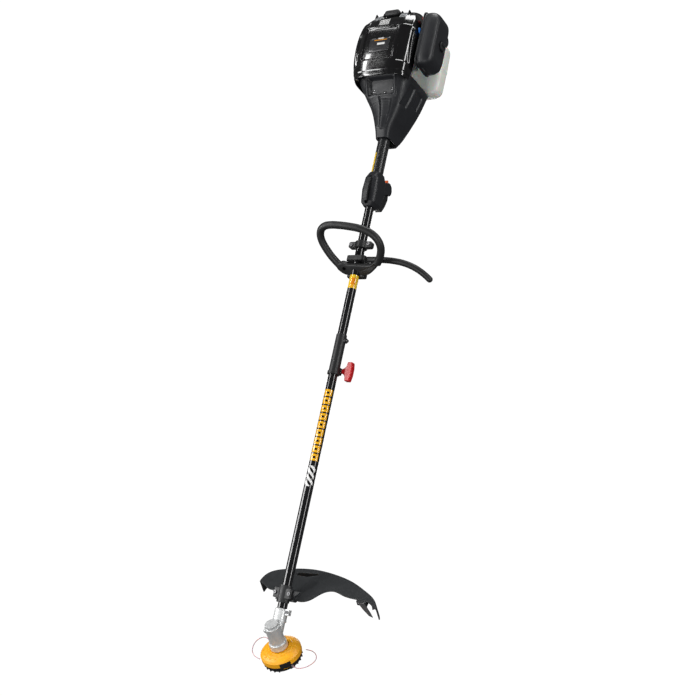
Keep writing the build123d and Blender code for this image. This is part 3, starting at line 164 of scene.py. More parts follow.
def surface(name, colour, rough, metallic=0.0, coat=0.0, coat_rough=0.05, grain=900.0, bump=0.12,
            depth=0.00012, variation=0.12, edge=0.35, edge_colour=None, bevel=0.0006, subsurface=0.0,
            decal=None):
    """Moulded, cast or painted surface: mottled colour, grain, uneven gloss and lighter edges, painted as
    wear and, on the shield, as a painted highlight.
    """
    material = bpy.data.materials.new(name)
    material.use_nodes = True
    tree = material.node_tree
    shader = tree.nodes["Principled BSDF"]
    where = tree.nodes.new("ShaderNodeTexCoord").outputs["Object"]
    cloud = noise(tree, where, 26.0)
    dark = tuple(channel * (1 - variation) for channel in colour)
    light = tuple(min(1.0, channel * (1 + variation)) for channel in colour)
    shade = mixed(tree, ranged(tree, cloud, 0.3, 0.7, 0.0, 1.0), dark, light)

    rounded = node(tree, "Bevel", Radius=bevel)
    rounded.samples = 4
    facing = tree.nodes.new("ShaderNodeNewGeometry")
    turned = tree.nodes.new("ShaderNodeVectorMath")
    turned.operation = "DOT_PRODUCT"
    tree.links.new(rounded.outputs["Normal"], turned.inputs[0])
    tree.links.new(facing.outputs["Normal"], turned.inputs[1])
    # Lighter edges: painted wear, and where strong (the shield) a painted highlight along the lit rim.
    at_edge = ranged(tree, turned.outputs["Value"], 0.995, 0.86, 0.0, edge)
    edge_breakup = ranged(tree, noise(tree, where, 320.0), 0.35, 0.6, 0.25, 1.0)
    edge_wear_and_highlight = math_node(tree, "MULTIPLY", at_edge, edge_breakup)
    worn_and_lit_edge_colour = edge_colour or tuple(min(1.0, channel * 1.6 + 0.05) for channel in colour)
    shade = mixed(tree, edge_wear_and_highlight, shade, worn_and_lit_edge_colour)
    if decal:
        shade = decal(tree, where, shade)
    tree.links.new(shade, shader.inputs["Base Color"])

    patches = ranged(tree, noise(tree, where, 75.0), 0.3, 0.7, rough[0], rough[1])
    tree.links.new(patches, shader.inputs["Roughness"])
    fine = noise(tree, where, grain, 3.0)
    lift = node(tree, "Bump", Strength=bump, Distance=depth)
    tree.links.new(fine, lift.inputs["Height"])
    tree.links.new(rounded.outputs["Normal"], lift.inputs["Normal"])
    tree.links.new(lift.outputs["Normal"], shader.inputs["Normal"])
    shader.inputs["Metallic"].default_value = metallic
    shader.inputs["Coat Weight"].default_value = coat
    shader.inputs["Coat Roughness"].default_value = coat_rough
    shader.inputs["Subsurface Weight"].default_value = subsurface
    if subsurface:
        shader.inputs["Subsurface Scale"].default_value = 0.01
    return material


def between(tree, value, low, high):
    """1 where a value lies between two limits, else 0."""
    above = math_node(tree, "GREATER_THAN", value, low)
    below = math_node(tree, "LESS_THAN", value, high)
    return math_node(tree, "MULTIPLY", above, below)


def patch(tree, first, first_range, second, second_range):
    """1 where two values lie between their limits, else 0."""
    inside = between(tree, first, *first_range)
    return math_node(tree, "MULTIPLY", inside, between(tree, second, *second_range))


def around_shaft(tree, where):
    """Height along the shaft and angle about it in radians, 0 towards the loop handle's side."""
    parts = tree.nodes.new("ShaderNodeSeparateXYZ")
    tree.links.new(where, parts.inputs[0])
    x, y, z = parts.outputs
    angle = math_node(tree, "ARCTAN2", x, math_node(tree, "MULTIPLY", y, -1.0))
    return z, angle


YELLOW = (0.93, 0.47, 0.012)
WHITE = (0.85, 0.85, 0.84)
BLOCK_SPAN, BLOCK_PITCH = (-0.612, -0.416), 0.0218
BAR_SPAN, BAR_PITCH = (-0.676, -0.622), 0.017
LABEL_SPAN = (-0.1285, -0.0905)
STRIP_SPAN = (0.2185, 0.2775)


def block_stripe(tree, where, shade):
    """Row of yellow blocks and three white bars along the lower tube, a plain pattern without letters."""
    z, angle = around_shaft(tree, where)
    front = between(tree, angle, radians(-32), radians(72))
    step = math_node(tree, "FRACT", math_node(tree, "MULTIPLY", z, 1 / BLOCK_PITCH))
    blocks = patch(tree, step, (0.09, 0.91), z, BLOCK_SPAN)
    core = patch(tree, step, (0.36, 0.64), angle, (radians(4), radians(36)))
    blocks = math_node(tree, "MULTIPLY", blocks, math_node(tree, "SUBTRACT", 1.0, core))
    blocks = math_node(tree, "MULTIPLY", blocks, front)
    slant = math_node(tree, "ADD", z, math_node(tree, "MULTIPLY", angle, 0.012))
    across = math_node(tree, "FRACT", math_node(tree, "MULTIPLY", slant, 1 / BAR_PITCH))
    bars = patch(tree, across, (0.3, 0.8), z, BAR_SPAN)
    bars = math_node(tree, "MULTIPLY", bars, front)
    return mixed(tree, bars, mixed(tree, blocks, shade, YELLOW), WHITE)


def label_band(tree, where, shade):
    """Yellow label round the upper tube with two orange panels, without text."""
    z, angle = around_shaft(tree, where)
    band = between(tree, z, *LABEL_SPAN)
    panel = patch(tree, z, (-0.120, -0.099), angle, (radians(2), radians(56)))
    bar = patch(tree, z, (-0.1255, -0.1225), angle, (radians(-8), radians(60)))
    marks = math_node(tree, "MAXIMUM", panel, bar)
    label = mixed(tree, marks, (0.95, 0.62, 0.03), (0.85, 0.27, 0.01))
    return mixed(tree, band, shade, label)


def badge_marks(tree, where, shade):
    """Plain white block over an orange bar, without any mark or letters."""
    parts = tree.nodes.new("ShaderNodeSeparateXYZ")
    tree.links.new(where, parts.inputs[0])
    x, y, z = parts.outputs
    bar = patch(tree, x, (-0.026, 0.014), z, (0.5740, 0.5765))
    block = patch(tree, x, (-0.014, 0.004), z, (0.5785, 0.5875))
    foot = patch(tree, x, (-0.015, 0.009), z, (0.5600, 0.5665))
    white = math_node(tree, "MAXIMUM", block, foot)
    return mixed(tree, white, mixed(tree, bar, shade, (0.75, 0.30, 0.01)), WHITE)


def sticker_hatch(tree, where, shade):
    """Black and white hatch of a plain label."""
    parts = tree.nodes.new("ShaderNodeSeparateXYZ")
    tree.links.new(where, parts.inputs[0])
    x, y, z = parts.outputs
    slope = math_node(tree, "ADD", x, z)
    waves = math_node(tree, "ADD", slope, math_node(tree, "MULTIPLY", noise(tree, where, 160.0), 0.012))
    bars = between(tree, math_node(tree, "FRACT", math_node(tree, "MULTIPLY", waves, 210.0)), 0.45, 1.0)
    return mixed(tree, bars, (0.02, 0.02, 0.02), WHITE)


def grip_strip(tree, where, shade):
    """Narrow yellow strip on the side of the grip sleeve."""
    z, angle = around_shaft(tree, where)
    strip = patch(tree, z, STRIP_SPAN, angle, (radians(-50), radians(-18)))
    return mixed(tree, strip, shade, (0.93, 0.62, 0.03))


BLACK = (0.006, 0.006, 0.007)
MATERIALS = {
    "gloss_black": dict(colour=(0.004, 0.004, 0.0045), rough=(0.10, 0.20), coat=0.7, bump=0.03, grain=500.0,
                        variation=0.2, edge=0.25),
    "satin_black": dict(colour=(0.012, 0.0125, 0.0135), rough=(0.38, 0.52), bump=0.3, grain=1500.0,
                        edge=0.3),
    # The shield's strong, light edge colour is a painted highlight along its rim.
    "shield_grey": dict(colour=(0.020, 0.022, 0.024), rough=(0.34, 0.48), bump=0.3, grain=1300.0, edge=0.6,
                        edge_colour=(0.12, 0.125, 0.13), bevel=0.0012),
    "neck_grey": dict(colour=(0.014, 0.015, 0.018), rough=(0.36, 0.5), bump=0.35, grain=1400.0, edge=0.35),
    "handle_rubber": dict(colour=(0.010, 0.010, 0.0105), rough=(0.40, 0.55), bump=0.4, grain=2200.0,
                          edge=0.15),
    "orange": dict(colour=(0.95, 0.42, 0.008), rough=(0.34, 0.46), bump=0.12, variation=0.05,
                   subsurface=0.05, edge=0.2),
    "red": dict(colour=(0.55, 0.008, 0.012), rough=(0.22, 0.34), bump=0.1, variation=0.06),
    "switch_orange": dict(colour=(0.88, 0.13, 0.01), rough=(0.28, 0.40), bump=0.08, variation=0.06),
    "blue": dict(colour=(0.02, 0.16, 0.55), rough=(0.25, 0.38), bump=0.08, variation=0.08),
    "primer_red": dict(colour=(0.50, 0.03, 0.03), rough=(0.3, 0.45), bump=0.1, subsurface=0.1),
    "tank_white": dict(colour=(0.80, 0.82, 0.76), rough=(0.34, 0.48), bump=0.1, variation=0.05,
                       subsurface=0.35, edge=0.1, edge_colour=(0.9, 0.9, 0.86)),
    "cast_metal": dict(colour=(0.74, 0.75, 0.75), rough=(0.36, 0.52), metallic=0.6, bump=0.5, grain=850.0,
                       depth=0.0002, variation=0.1, edge=0.5, edge_colour=(0.85, 0.85, 0.85)),
    "machined": dict(colour=(0.55, 0.55, 0.56), rough=(0.18, 0.34), metallic=1.0, bump=0.12, grain=600.0,
                     variation=0.12, edge=0.4, edge_colour=(0.85, 0.85, 0.86)),
    "dark_zinc": dict(colour=(0.16, 0.16, 0.165), rough=(0.3, 0.45), metallic=0.9, bump=0.15, grain=600.0,
                      edge=0.5, edge_colour=(0.5, 0.5, 0.5)),
    "bare_aluminium": dict(colour=(0.62, 0.63, 0.64), rough=(0.3, 0.5), metallic=0.9, bump=0.4, grain=700.0,
                           edge=0.4, edge_colour=(0.85, 0.85, 0.85)),
    "hot_steel": dict(colour=(0.20, 0.17, 0.15), rough=(0.4, 0.6), metallic=0.8, bump=0.3, variation=0.3),
    "grille_silver": dict(colour=(0.33, 0.34, 0.35), rough=(0.28, 0.42), metallic=0.35, bump=0.1),
    "bush_white": dict(colour=(0.72, 0.70, 0.64), rough=(0.4, 0.5), bump=0.1),
    "line_nylon": dict(colour=(0.70, 0.42, 0.44), rough=(0.18, 0.30), bump=0.1, subsurface=0.3,
                       variation=0.15, bevel=0.0001, edge=0.0),
    "lower_paint": dict(colour=BLACK, rough=(0.08, 0.16), coat=0.6, bump=0.04, variation=0.2, edge=0.2,
                        decal=block_stripe),
    "upper_paint": dict(colour=BLACK, rough=(0.08, 0.16), coat=0.6, bump=0.04, variation=0.2, edge=0.2,
                        decal=label_band),
    "badge": dict(colour=(0.03, 0.03, 0.032), rough=(0.12, 0.2), coat=0.6, bump=0.03, variation=0.1,
                  edge=0.1, decal=badge_marks),
    "sticker": dict(colour=(0.6, 0.6, 0.6), rough=(0.3, 0.4), bump=0.05, variation=0.1, edge=0.0,
                    decal=sticker_hatch),
    "rope_weave": dict(colour=(0.10, 0.10, 0.11), rough=(0.6, 0.8), bump=0.8, grain=1100.0, depth=0.0004,
                       variation=0.3, edge=0.0, bevel=0.0002),
    "grip_paint": dict(colour=(0.014, 0.0145, 0.016), rough=(0.26, 0.38), coat=0.25, coat_rough=0.25,
                       bump=0.2, grain=1700.0, edge=0.15, decal=grip_strip),
}
MADE = {}


def finish_of(name):
    """The named material, made the first time it is asked for."""
    if name not in MADE:
        MADE[name] = surface(name, **MATERIALS[name])
    return MADE[name]


NODE_FINISHES = {
    "upper_paint": ("upper_tube",),
    "lower_paint": ("lower_tube",),
    "grip_paint": ("grip_sleeve",),
    "handle_rubber": ("loop_handle", "barrier_bar"),
    "satin_black": ("handle_clamp", "harness_clamp_top", "harness_clamp_bottom", "head_base", "bump_knob",
                    "shield_clamp", "filter_base", "throttle_trigger", "throttle_lockout", "coupler_sleeve",
                    "starter_pulley", "starter_handle", "fuel_cap", "filter_knob"),
    "neck_grey": ("throttle_housing_left", "throttle_housing_right", "clutch_housing", "air_filter_cover"),
    "shield_grey": ("shield",),
    "gloss_black": ("engine_cover", "starter_housing", "coupler_button"),
    "orange": ("head_cover", "line_spool"),
    "switch_orange": ("stop_switch",),
    "red": ("coupler_knob",),
    "blue": ("choke_lever",),
    "primer_red": ("primer_bulb",),
    "tank_white": ("fuel_tank",),
    "cast_metal": ("gearbox_housing",),
    "bare_aluminium": ("crankcase", "cylinder", "piston", "flywheel", "carburetor"),
    "hot_steel": ("muffler",),
    "bush_white": ("shaft_bushes",),
    "dark_zinc": ("clamp_screws", "handle_screws"),
    "machined": ("upper_drive_shaft", "lower_drive_shaft", "pinion_gear", "output_gear", "output_shaft",
                 "gearbox_bearings", "knob_bolt", "line_cutter", "line_eyelets",
                 "bump_spring", "crankshaft", "clutch_shoes", "clutch_drum", "spark_plug"),
    "line_nylon": ("trimmer_line_left", "trimmer_line_right"),
}


def dress_nodes():
    """Gives each carried-over CAD node its finish."""
    for finish, names in NODE_FINISHES.items():
        for name in names:
            target = NODES[name]
            if not target.material_slots:
                target.data.materials.append(None)
            for place in target.material_slots:
                place.link = "OBJECT"
                place.material = finish_of(finish)


# ---- mesh building ----------------------------------------------------------------------------------
def add_piece(name, vertices, faces, finish, body, replaced=(), smooth=True):
    """Mesh piece in the row frame that rides on a body."""
    mesh = bpy.data.meshes.new(name)
    mesh.from_pydata([tuple(vertex) for vertex in vertices], [], faces)
    built = bmesh.new()
    built.from_mesh(mesh)
    bmesh.ops.remove_doubles(built, verts=built.verts, dist=1e-6)
    bmesh.ops.recalc_face_normals(built, faces=built.faces)
    built.to_mesh(mesh)
    built.free()
    mesh.materials.append(finish_of(finish))
    if smooth:
        mesh.shade_smooth()
    piece = bpy.data.objects.new(name, mesh)
    bpy.context.collection.objects.link(piece)
    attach(piece, body)
    if replaced:
        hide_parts(*replaced)
    return piece


# ---- trimmer lines ------------------------------------------------------------------------------------
LINE_ANGLE = -28.0
LINE_D = -64.0
EYELET_IN = 45.5
LINE_FIRST_R = 62.5
LINE_DIAMETER = 0.0024
LINE_ROUTES = {
    "trimmer_line_right": (LINE_ANGLE, 0.133, ((75, -24), (90, -8), (94, 12), (82, 29), (64, 37), (48, 36))),
    "trimmer_line_left": (LINE_ANGLE + 180, 0.163, ((-72, 46), (-90, 52), (-103, 40), (-104, 18), (-92, -6),
                                                   (-74, -19), (-56, -23))),
}


def add_line(node_name, angle, route):
    """Nylon line that leaves its eyelet straight and curls, as one smooth curve."""
    turn = radians(angle)
    points = []
    for radius in (EYELET_IN, LINE_FIRST_R):
        points.append(on_head(radius * cos(turn), radius * sin(turn), LINE_D))
    points += [on_head(x, y, LINE_D) for x, y in route]
    data = bpy.data.curves.new(node_name + "_nylon", "CURVE")
    data.dimensions = "3D"
    data.bevel_depth = LINE_DIAMETER / 2
    data.bevel_resolution = 4
    data.resolution_u = 12
    data.use_fill_caps = True
    spline = data.splines.new("NURBS")
    spline.points.add(len(points) - 1)
    for control, point in zip(spline.points, points):
        control.co = (*point, 1.0)
    spline.order_u = 3
    spline.use_endpoint_u = True
    data.materials.append(finish_of("line_nylon"))
    piece = bpy.data.objects.new(node_name + "_nylon", data)
    bpy.context.collection.objects.link(piece)
    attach(piece, "head")
    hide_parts(node_name)


def ring_faces(rings, columns, capped=True):
    """Quads between closed rings of vertices, with flat ends when capped."""
    faces = []
    for ring in range(rings - 1):
        for column in range(columns):
            right = (column + 1) % columns
            faces.append((ring * columns + column, ring * columns + right, (ring + 1) * columns + right,
                          (ring + 1) * columns + column))
    if capped:
        faces.append(tuple(range(columns)))
        faces.append(tuple(range((rings - 1) * columns, rings * columns)))
    return faces


# ---- moulded shells ---------------------------------------------------------------------------------
def smooth(value, low, high):
    """Smooth step from 0 at low to 1 at high."""
    share = min(1.0, max(0.0, (value - low) / (high - low)))
    return share * share * (3 - 2 * share)


def window(value, low, high, soft):
    """1 inside two limits and 0 outside, with soft edges."""
    risen = smooth(value, low - soft / 2, low + soft / 2)
    return risen * (1 - smooth(value, high - soft / 2, high + soft / 2))


def station(stations, place):
    """Sizes at a place, blended between the stations on each side with matching slopes."""
    last = len(stations) - 1
    index = max(i for i in range(last) if i == 0 or stations[i][0] <= place)
    before, after = stations[index], stations[index + 1]
    share = (place - before[0]) / (after[0] - before[0])
    outer = stations[max(index - 1, 0)], stations[min(index + 2, last)]
    sizes = []
    for column in range(1, len(before)):
        span = after[0] - before[0]
        slope_in = (after[column] - outer[0][column]) / (after[0] - outer[0][0]) * span
        slope_out = (outer[1][column] - before[column]) / (outer[1][0] - before[0]) * span
        a, b = before[column], after[column]
        cubic = ((2 * share ** 3 - 3 * share ** 2 + 1) * a + (share ** 3 - 2 * share ** 2 + share) * slope_in
                 + (3 * share ** 2 - 2 * share ** 3) * b + (share ** 3 - share ** 2) * slope_out)
        sizes.append(cubic)
    return sizes


def oval(x0, x1, y0, y1, power, turn):
    """Point and outward direction on a squarish oval, turn 0 at +X and a quarter at -Y."""
    c, s = cos(turn), -sin(turn)
    half_x, half_y = (x1 - x0) / 2, (y1 - y0) / 2
    x = (x0 + x1) / 2 + half_x * (1 if c > 0 else -1) * abs(c) ** (2 / power)
    y = (y0 + y1) / 2 + half_y * (1 if s > 0 else -1) * abs(s) ** (2 / power)
    normal = Vector((c * abs(c) ** (1 - 2 / power) / half_x, s * abs(s) ** (1 - 2 / power) / half_y, 0))
    return Vector((x, y, 0)), normal.normalized()


def even_turns(sizes, power, start, end, count):
    """Turns between two angles that step evenly along the oval's edge."""
    fine = [start + (end - start) * i / 720 for i in range(721)]
    points = [oval(*sizes, power, turn)[0] for turn in fine]
    travelled = [0.0]
    for a, b in zip(points, points[1:]):
        travelled.append(travelled[-1] + (b - a).length)
    turns, index = [], 0
    for step in range(count + 1):
        goal = travelled[-1] * step / count
        while index < 719 and travelled[index + 1] < goal:
            index += 1
        share = (goal - travelled[index]) / max(1e-9, travelled[index + 1] - travelled[index])
        turns.append(fine[index] + (fine[index + 1] - fine[index]) * share)
    return turns


def moulded_shell(name, stations, power, heights, turns, relief, finish, body, replaced, wall, closed,
                  keep=None):
    """Thin shell through ovals at several heights, pressed in by relief(x, y, z, normal)."""
    vertices, faces = [], []
    columns = len(turns)
    for z in heights:
        sizes = station(stations, z)
        for turn in turns:
            point, normal = oval(*sizes, power, turn)
            point -= normal * relief(point.x, point.y, z, normal)
            vertices.append(Vector((point.x, point.y, z)) * MM)
    for row in range(len(heights) - 1):
        for column in range(columns if closed else columns - 1):
            right = (column + 1) % columns
            face = (row * columns + column, row * columns + right, (row + 1) * columns + right,
                    (row + 1) * columns + column)
            middle = sum((vertices[i] for i in face), Vector()) / 4
            if keep is None or keep(middle / MM):
                faces.append(face)
    piece = add_piece(name, vertices, faces, finish, body, replaced)
    thick = piece.modifiers.new("wall", "SOLIDIFY")
    thick.thickness = wall * MM
    thick.offset = -1
    return piece


def spaced(low, high, count):
    """Evenly spaced numbers with both ends."""
    return [low + (high - low) * i / count for i in range(count + 1)]


COVER_STATIONS = ((469, -90, 78, -103, 60), (486, -96, 83, -112, 60), (540, -103, 88, -119, 60),
                  (600, -103, 89.5, -119.5, 60), (640, -96, 86, -113.5, 60), (664, -84, 78, -104, 60),
                  (676, -74, 72, -95, 60))
COVER_POWER = 4.2
COVER_Z = (COVER_STATIONS[0][0], COVER_STATIONS[-1][0])
COVER_WALL = 2.6
WINDOW_X, WINDOW_Z = (-58, 40), (516, 616)
LEDGE_Z = 622.0
RIGHT_EDGE_Y, LEFT_EDGE_Y = -64.0, 8.0
FIN_X, FIN_WIDTH = (-54, -29, 29, 52), 3.0


def cover_relief(x, y, z, normal):
    """Ledge, front window, side panels, lip and vent slots of the engine cover, in millimetres."""
    front = smooth(-normal.y, 0.45, 0.8)
    depth = 6.0 * smooth(z, LEDGE_Z - 1.5, LEDGE_Z + 2.5) * front * window(x, -80, 76, 5)
    depth += 5.0 * window(x, *WINDOW_X, 4) * window(z, *WINDOW_Z, 4) * front
    depth += 3.0 * window(x, 53, 82, 3) * window(z, 508, 614, 4)
    depth += 8.0 * window(x, -88, -64, 10) * window(z, 504, 614, 16) * smooth(-y, 60, 96)
    depth -= 1.6 * (1 - smooth(z, 475, 479))
    depth += 1.4 * window(z, 479, 483, 2.5)
    for middle in (-72, -64):
        depth += 3.5 * window(x, middle - 2.2, middle + 2.2, 2) * window(z, 632, 652, 3) * front
    depth += 3.0 * window(x, -26, 26, 4) * smooth(z, 655, 660) * front
    return depth


def cover_kept(middle):
    """The cover wraps the front, and leaves the rear and the carburettor side open."""
    pull_notch = abs(middle.x) < 29 and middle.z > 662.5 and middle.y < -60
    return middle.y < (RIGHT_EDGE_Y if middle.x > 40 else LEFT_EDGE_Y) and not pull_notch


def cover_point(x, z, out=0.0):
    """Point on the front of the engine cover at x and z, moved outwards."""
    sizes = station(COVER_STATIONS, z)
    half_x, half_y = (sizes[1] - sizes[0]) / 2, (sizes[3] - sizes[2]) / 2
    across = min(1.0, abs(x - (sizes[0] + sizes[1]) / 2) / half_x)
    y = (sizes[2] + sizes[3]) / 2 - half_y * (1 - across ** COVER_POWER) ** (1 / COVER_POWER)
    y += cover_relief(x, y, z, Vector((0, -1, 0)))
    return Vector((x, y - out, z))


def box_between(vertices, faces, near, far):
    """Adds the six faces of a bar whose two ends are given as four points each."""
    base = len(vertices)
    vertices.extend(point * MM for point in (*near, *far))
    faces.extend(tuple(base + i for i in quad) for quad in
                 ((0, 1, 2, 3), (7, 6, 5, 4), (0, 4, 5, 1), (1, 5, 6, 2), (2, 6, 7, 3), (3, 7, 4, 0)))


RIB_LIFT, PANEL_LIFT = (-0.8, 1.3), (-0.9, 0.5)


def cover_strip(left, right, z, inner, outer):
    """Corners of a flat bar's section on the front of the cover, at one height."""
    return [cover_point(left, z, inner), cover_point(right, z, inner), cover_point(right, z, outer),
            cover_point(left, z, outer)]


def add_grille(name, x_range, z_range, ribs):
    """Panel of upright silver ribs on the sloping top of the cover."""
    vertices, faces = [], []
    pitch = (x_range[1] - x_range[0]) / ribs
    levels = spaced(*z_range, 6)
    for rib in range(ribs):
        left = x_range[0] + rib * pitch
        right = left + pitch * 0.62
        for low, high in zip(levels, levels[1:]):
            box_between(vertices, faces, cover_strip(left, right, low, *RIB_LIFT),
                        cover_strip(left, right, high, *RIB_LIFT))
    for low, high in zip(levels, levels[1:]):
        box_between(vertices, faces, cover_strip(*x_range, low, *PANEL_LIFT),
                    cover_strip(*x_range, high, *PANEL_LIFT))
    return add_piece(name, vertices, faces, "grille_silver", "frame", smooth=False)


def add_patch(name, x_range, z_range, out, finish):
    """Thin plate that follows the front of the cover."""
    columns, rows = 16, 10
    vertices, faces = [], []
    for lift in (out, out - 0.6):
        for z in spaced(*z_range, rows):
            for x in spaced(*x_range, columns):
                vertices.append(cover_point(x, z, lift) * MM)
    size = (columns + 1) * (rows + 1)
    for row in range(rows):
        for column in range(columns):
            a = row * (columns + 1) + column
            quad = (a, a + 1, a + columns + 2, a + columns + 1)
            faces.append(quad)
            faces.append(tuple(size + i for i in reversed(quad)))
    edge = [i for i in range(columns + 1)]
    edge += [row * (columns + 1) + columns for row in range(1, rows + 1)]
    edge += [rows * (columns + 1) + i for i in range(columns - 1, -1, -1)]
    edge += [row * (columns + 1) for row in range(rows - 1, 0, -1)]
    for a, b in zip(edge, edge[1:] + edge[:1]):
        faces.append((a, a + size, b + size, b))
    return add_piece(name, vertices, faces, finish, "frame")


def build_engine_cover():
    """Glossy shell with window plate, silver grilles and small top fins."""
    turns = even_turns(station(COVER_STATIONS, 560), COVER_POWER, radians(-35), radians(215), 230)
    heights = spaced(*COVER_Z, 112)
    moulded_shell("engine_cover_shell", COVER_STATIONS, COVER_POWER, heights, turns, cover_relief,
                  "gloss_black", "frame", ("engine_cover",), COVER_WALL, False, cover_kept)
    add_grille("grille_left", (-52, -30), (652, 671), 9)
    add_grille("grille_right", (30, 50), (652, 671), 8)
    add_patch("badge_plate", (-42, 24), (540, 582), 0.9, "badge")
    add_patch("label_sticker", (-28, 4), (629, 650), 0.35, "sticker")
    front = station(COVER_STATIONS, 672)[2]
    for index, x in enumerate(FIN_X):
        vertices, faces = [], []
        left, right = x - FIN_WIDTH / 2, x + FIN_WIDTH / 2
        near = [Vector((left, front + 2, 664)), Vector((right, front + 2, 664)),
                Vector((right, front + 16, 664)), Vector((left, front + 16, 664))]
        far = [Vector((left, front + 5, 679)), Vector((right, front + 5, 679)),
               Vector((right, front + 14, 677)), Vector((left, front + 14, 677))]
        box_between(vertices, faces, near, far)
        add_piece(f"cover_fin_{index + 1}", vertices, faces, "gloss_black", "frame",
                  smooth=False)


NECK_STATIONS = ((322, -19.5, 19.5, -19.5, 44), (350, -24, 26, -31, 60), (400, -42, 46, -44, 70),
                 (440, -65, 61, -60, 76), (470, -82, 69, -74, 80), (492, -93.5, 73.5, -83.5, 84))
NECK_POWER = 4.6
NECK_Z = (NECK_STATIONS[0][0], NECK_STATIONS[-1][0])
NECK_WALL = 2.4
POCKET_DEPTH = 13.0


def neck_relief(x, y, z, normal):
    """Bolt pocket, two raised facets and side vents of the clutch housing, in millimetres."""
    front = smooth(-normal.y, 0.35, 0.75)
    sizes = station(NECK_STATIONS, z)
    half = (sizes[1] - sizes[0]) / 2
    across = (x - (sizes[0] + sizes[1]) / 2) / half
    low, high = 350, 430
    depth = POCKET_DEPTH * window(x, -46, 36, 4) * window(z, 437, 480, 4) * front
    depth -= 2.6 * window(x, -52, 42, 3) * window(z, 431, 486, 3) * front * (1 if depth < 0.1 else 0)
    tilt_left = smooth(across, -0.74, -0.16)
    tilt_right = 1 - smooth(across, -0.08, 0.52)
    left_facet = window(across, -0.74, -0.15, 0.04) * window(z, low, high, 4)
    right_facet = window(across, -0.08, 0.52, 0.04) * window(z, low - 6, high - 8, 4)
    depth -= (0.6 + 3.4 * tilt_left) * left_facet * front
    depth -= (1.2 + 3.4 * tilt_right) * right_facet * front
    for level in (416, 409, 378):
        depth += 0.8 * window(z, level - 1, level + 1, 1.6) * window(across, -0.60, 0.42, 0.05) * front
    side = smooth(normal.x, 0.6, 0.9)
    depth += 4.0 * side * window(y, -36, -8, 6) * window(z, 414, 474, 6)
    depth += 4.0 * side * window(y, 8, 40, 6) * window(z, 430, 474, 6)
    side = smooth(-normal.x, 0.6, 0.9)
    depth += 3.5 * side * window(y, -30, 30, 6) * window(z, 436, 476, 6)
    return depth


def build_neck():
    """Clutch housing with its facets, pocket and rim."""
    turns = even_turns(station(NECK_STATIONS, 440), NECK_POWER, 0, 2 * pi, 260)[:-1]
    heights = spaced(*NECK_Z, 90)
    moulded_shell("clutch_housing_shell", NECK_STATIONS, NECK_POWER, heights, turns, neck_relief,
                  "neck_grey", "frame", ("clutch_housing",), NECK_WALL, True)


def add_turned(name, origin, axis, profile, finish, body, segments=64):
    """Closed piece turned about an axis, from (radius, distance) pairs."""
    up = Vector(axis).normalized()
    side = up.orthogonal().normalized()
    other = up.cross(side)
    vertices = []
    for radius, distance in profile:
        for step in range(segments):
            turn = 2 * pi * step / segments
            outward = side * cos(turn) + other * sin(turn)
            vertices.append(Vector(origin) + outward * radius * MM + up * distance * MM)
    faces = ring_faces(len(profile), segments, capped=False)
    return add_piece(name, vertices, faces, finish, body)


def build_bolts():
    """Three bolts in the pocket under the engine cover."""
    profile = ((0, 0), (3.2, 0), (4.4, 0.6), (4.6, 2.6), (4.0, 3.6), (2.3, 3.8), (2.2, 1.6), (0, 1.5))
    for index, (x, z) in enumerate(((-32, 450), (4, 447), (27, 454))):
        floor = Vector((x, station(NECK_STATIONS, z)[2] + POCKET_DEPTH + 0.2, z))
        add_turned(f"pocket_bolt_{index + 1}", floor * MM, (0, -1, 0), profile, "machined", "frame",
                   segments=24)


FILTER_STATIONS = ((99, -84, 4, 510, 678), (112, -83.6, 3.6, 510.6, 677.4), (122, -83, 3.2, 511.5, 676.5),
                   (134, -79, 0, 517, 671), (142, -72, -7, 526, 661))
FILTER_POWER = 5.5
FILTER_X = (99, 101, 103, 103.6, 105, 110, 116, 121, 125, 129, 132.5, 135.5, 138, 140, 141.2, 141.9, 142)
FILTER_KNOB = (-30, 588)
FACE_STEPS = ((0.86, 142.0), (0.72, 141.9), (0.6, 141.9))
COLLAR = ((20.0, 141.6), (17.2, 141.6), (16.4, 140.6), (13.8, 140.4), (13.7, 133.0), (4.2, 132.0))


def build_air_filter_cover():
    """Rounded air filter cover whose face carries the knob's collar."""
    knob_y, knob_z = FILTER_KNOB
    vertices = []
    columns = 120
    turns = even_turns(station(FILTER_STATIONS, FILTER_X[0]), FILTER_POWER, 0, 2 * pi, columns)[:-1]
    for x in FILTER_X:
        sizes = station(FILTER_STATIONS, min(x, 141.99))
        groove = 1.4 * window(x, 102.4, 104.8, 1.2)
        closing = 3.5 * smooth(x, 139.5, 142)
        for turn in turns:
            point, normal = oval(*sizes, FILTER_POWER, turn)
            point -= normal * (groove + closing)
            vertices.append(Vector((x, point.x, point.y)) * MM)
    from_knob = [Vector((0, point.y / MM - knob_y, point.z / MM - knob_z)) for point in vertices[-columns:]]
    for share, x in FACE_STEPS:
        for offset in from_knob:
            vertices.append((Vector((x, knob_y, knob_z)) + offset * share) * MM)
    for radius, x in COLLAR:
        for offset in from_knob:
            vertices.append((Vector((x, knob_y, knob_z)) + offset.normalized() * radius) * MM)
    faces = ring_faces(len(FILTER_X) + len(FACE_STEPS) + len(COLLAR), columns, capped=False)
    piece = add_piece("air_filter_shell", vertices, faces, "neck_grey", "frame",
                      ("air_filter_cover",))
    thick = piece.modifiers.new("wall", "SOLIDIFY")
    thick.thickness = 2.2 * MM
    thick.offset = -1


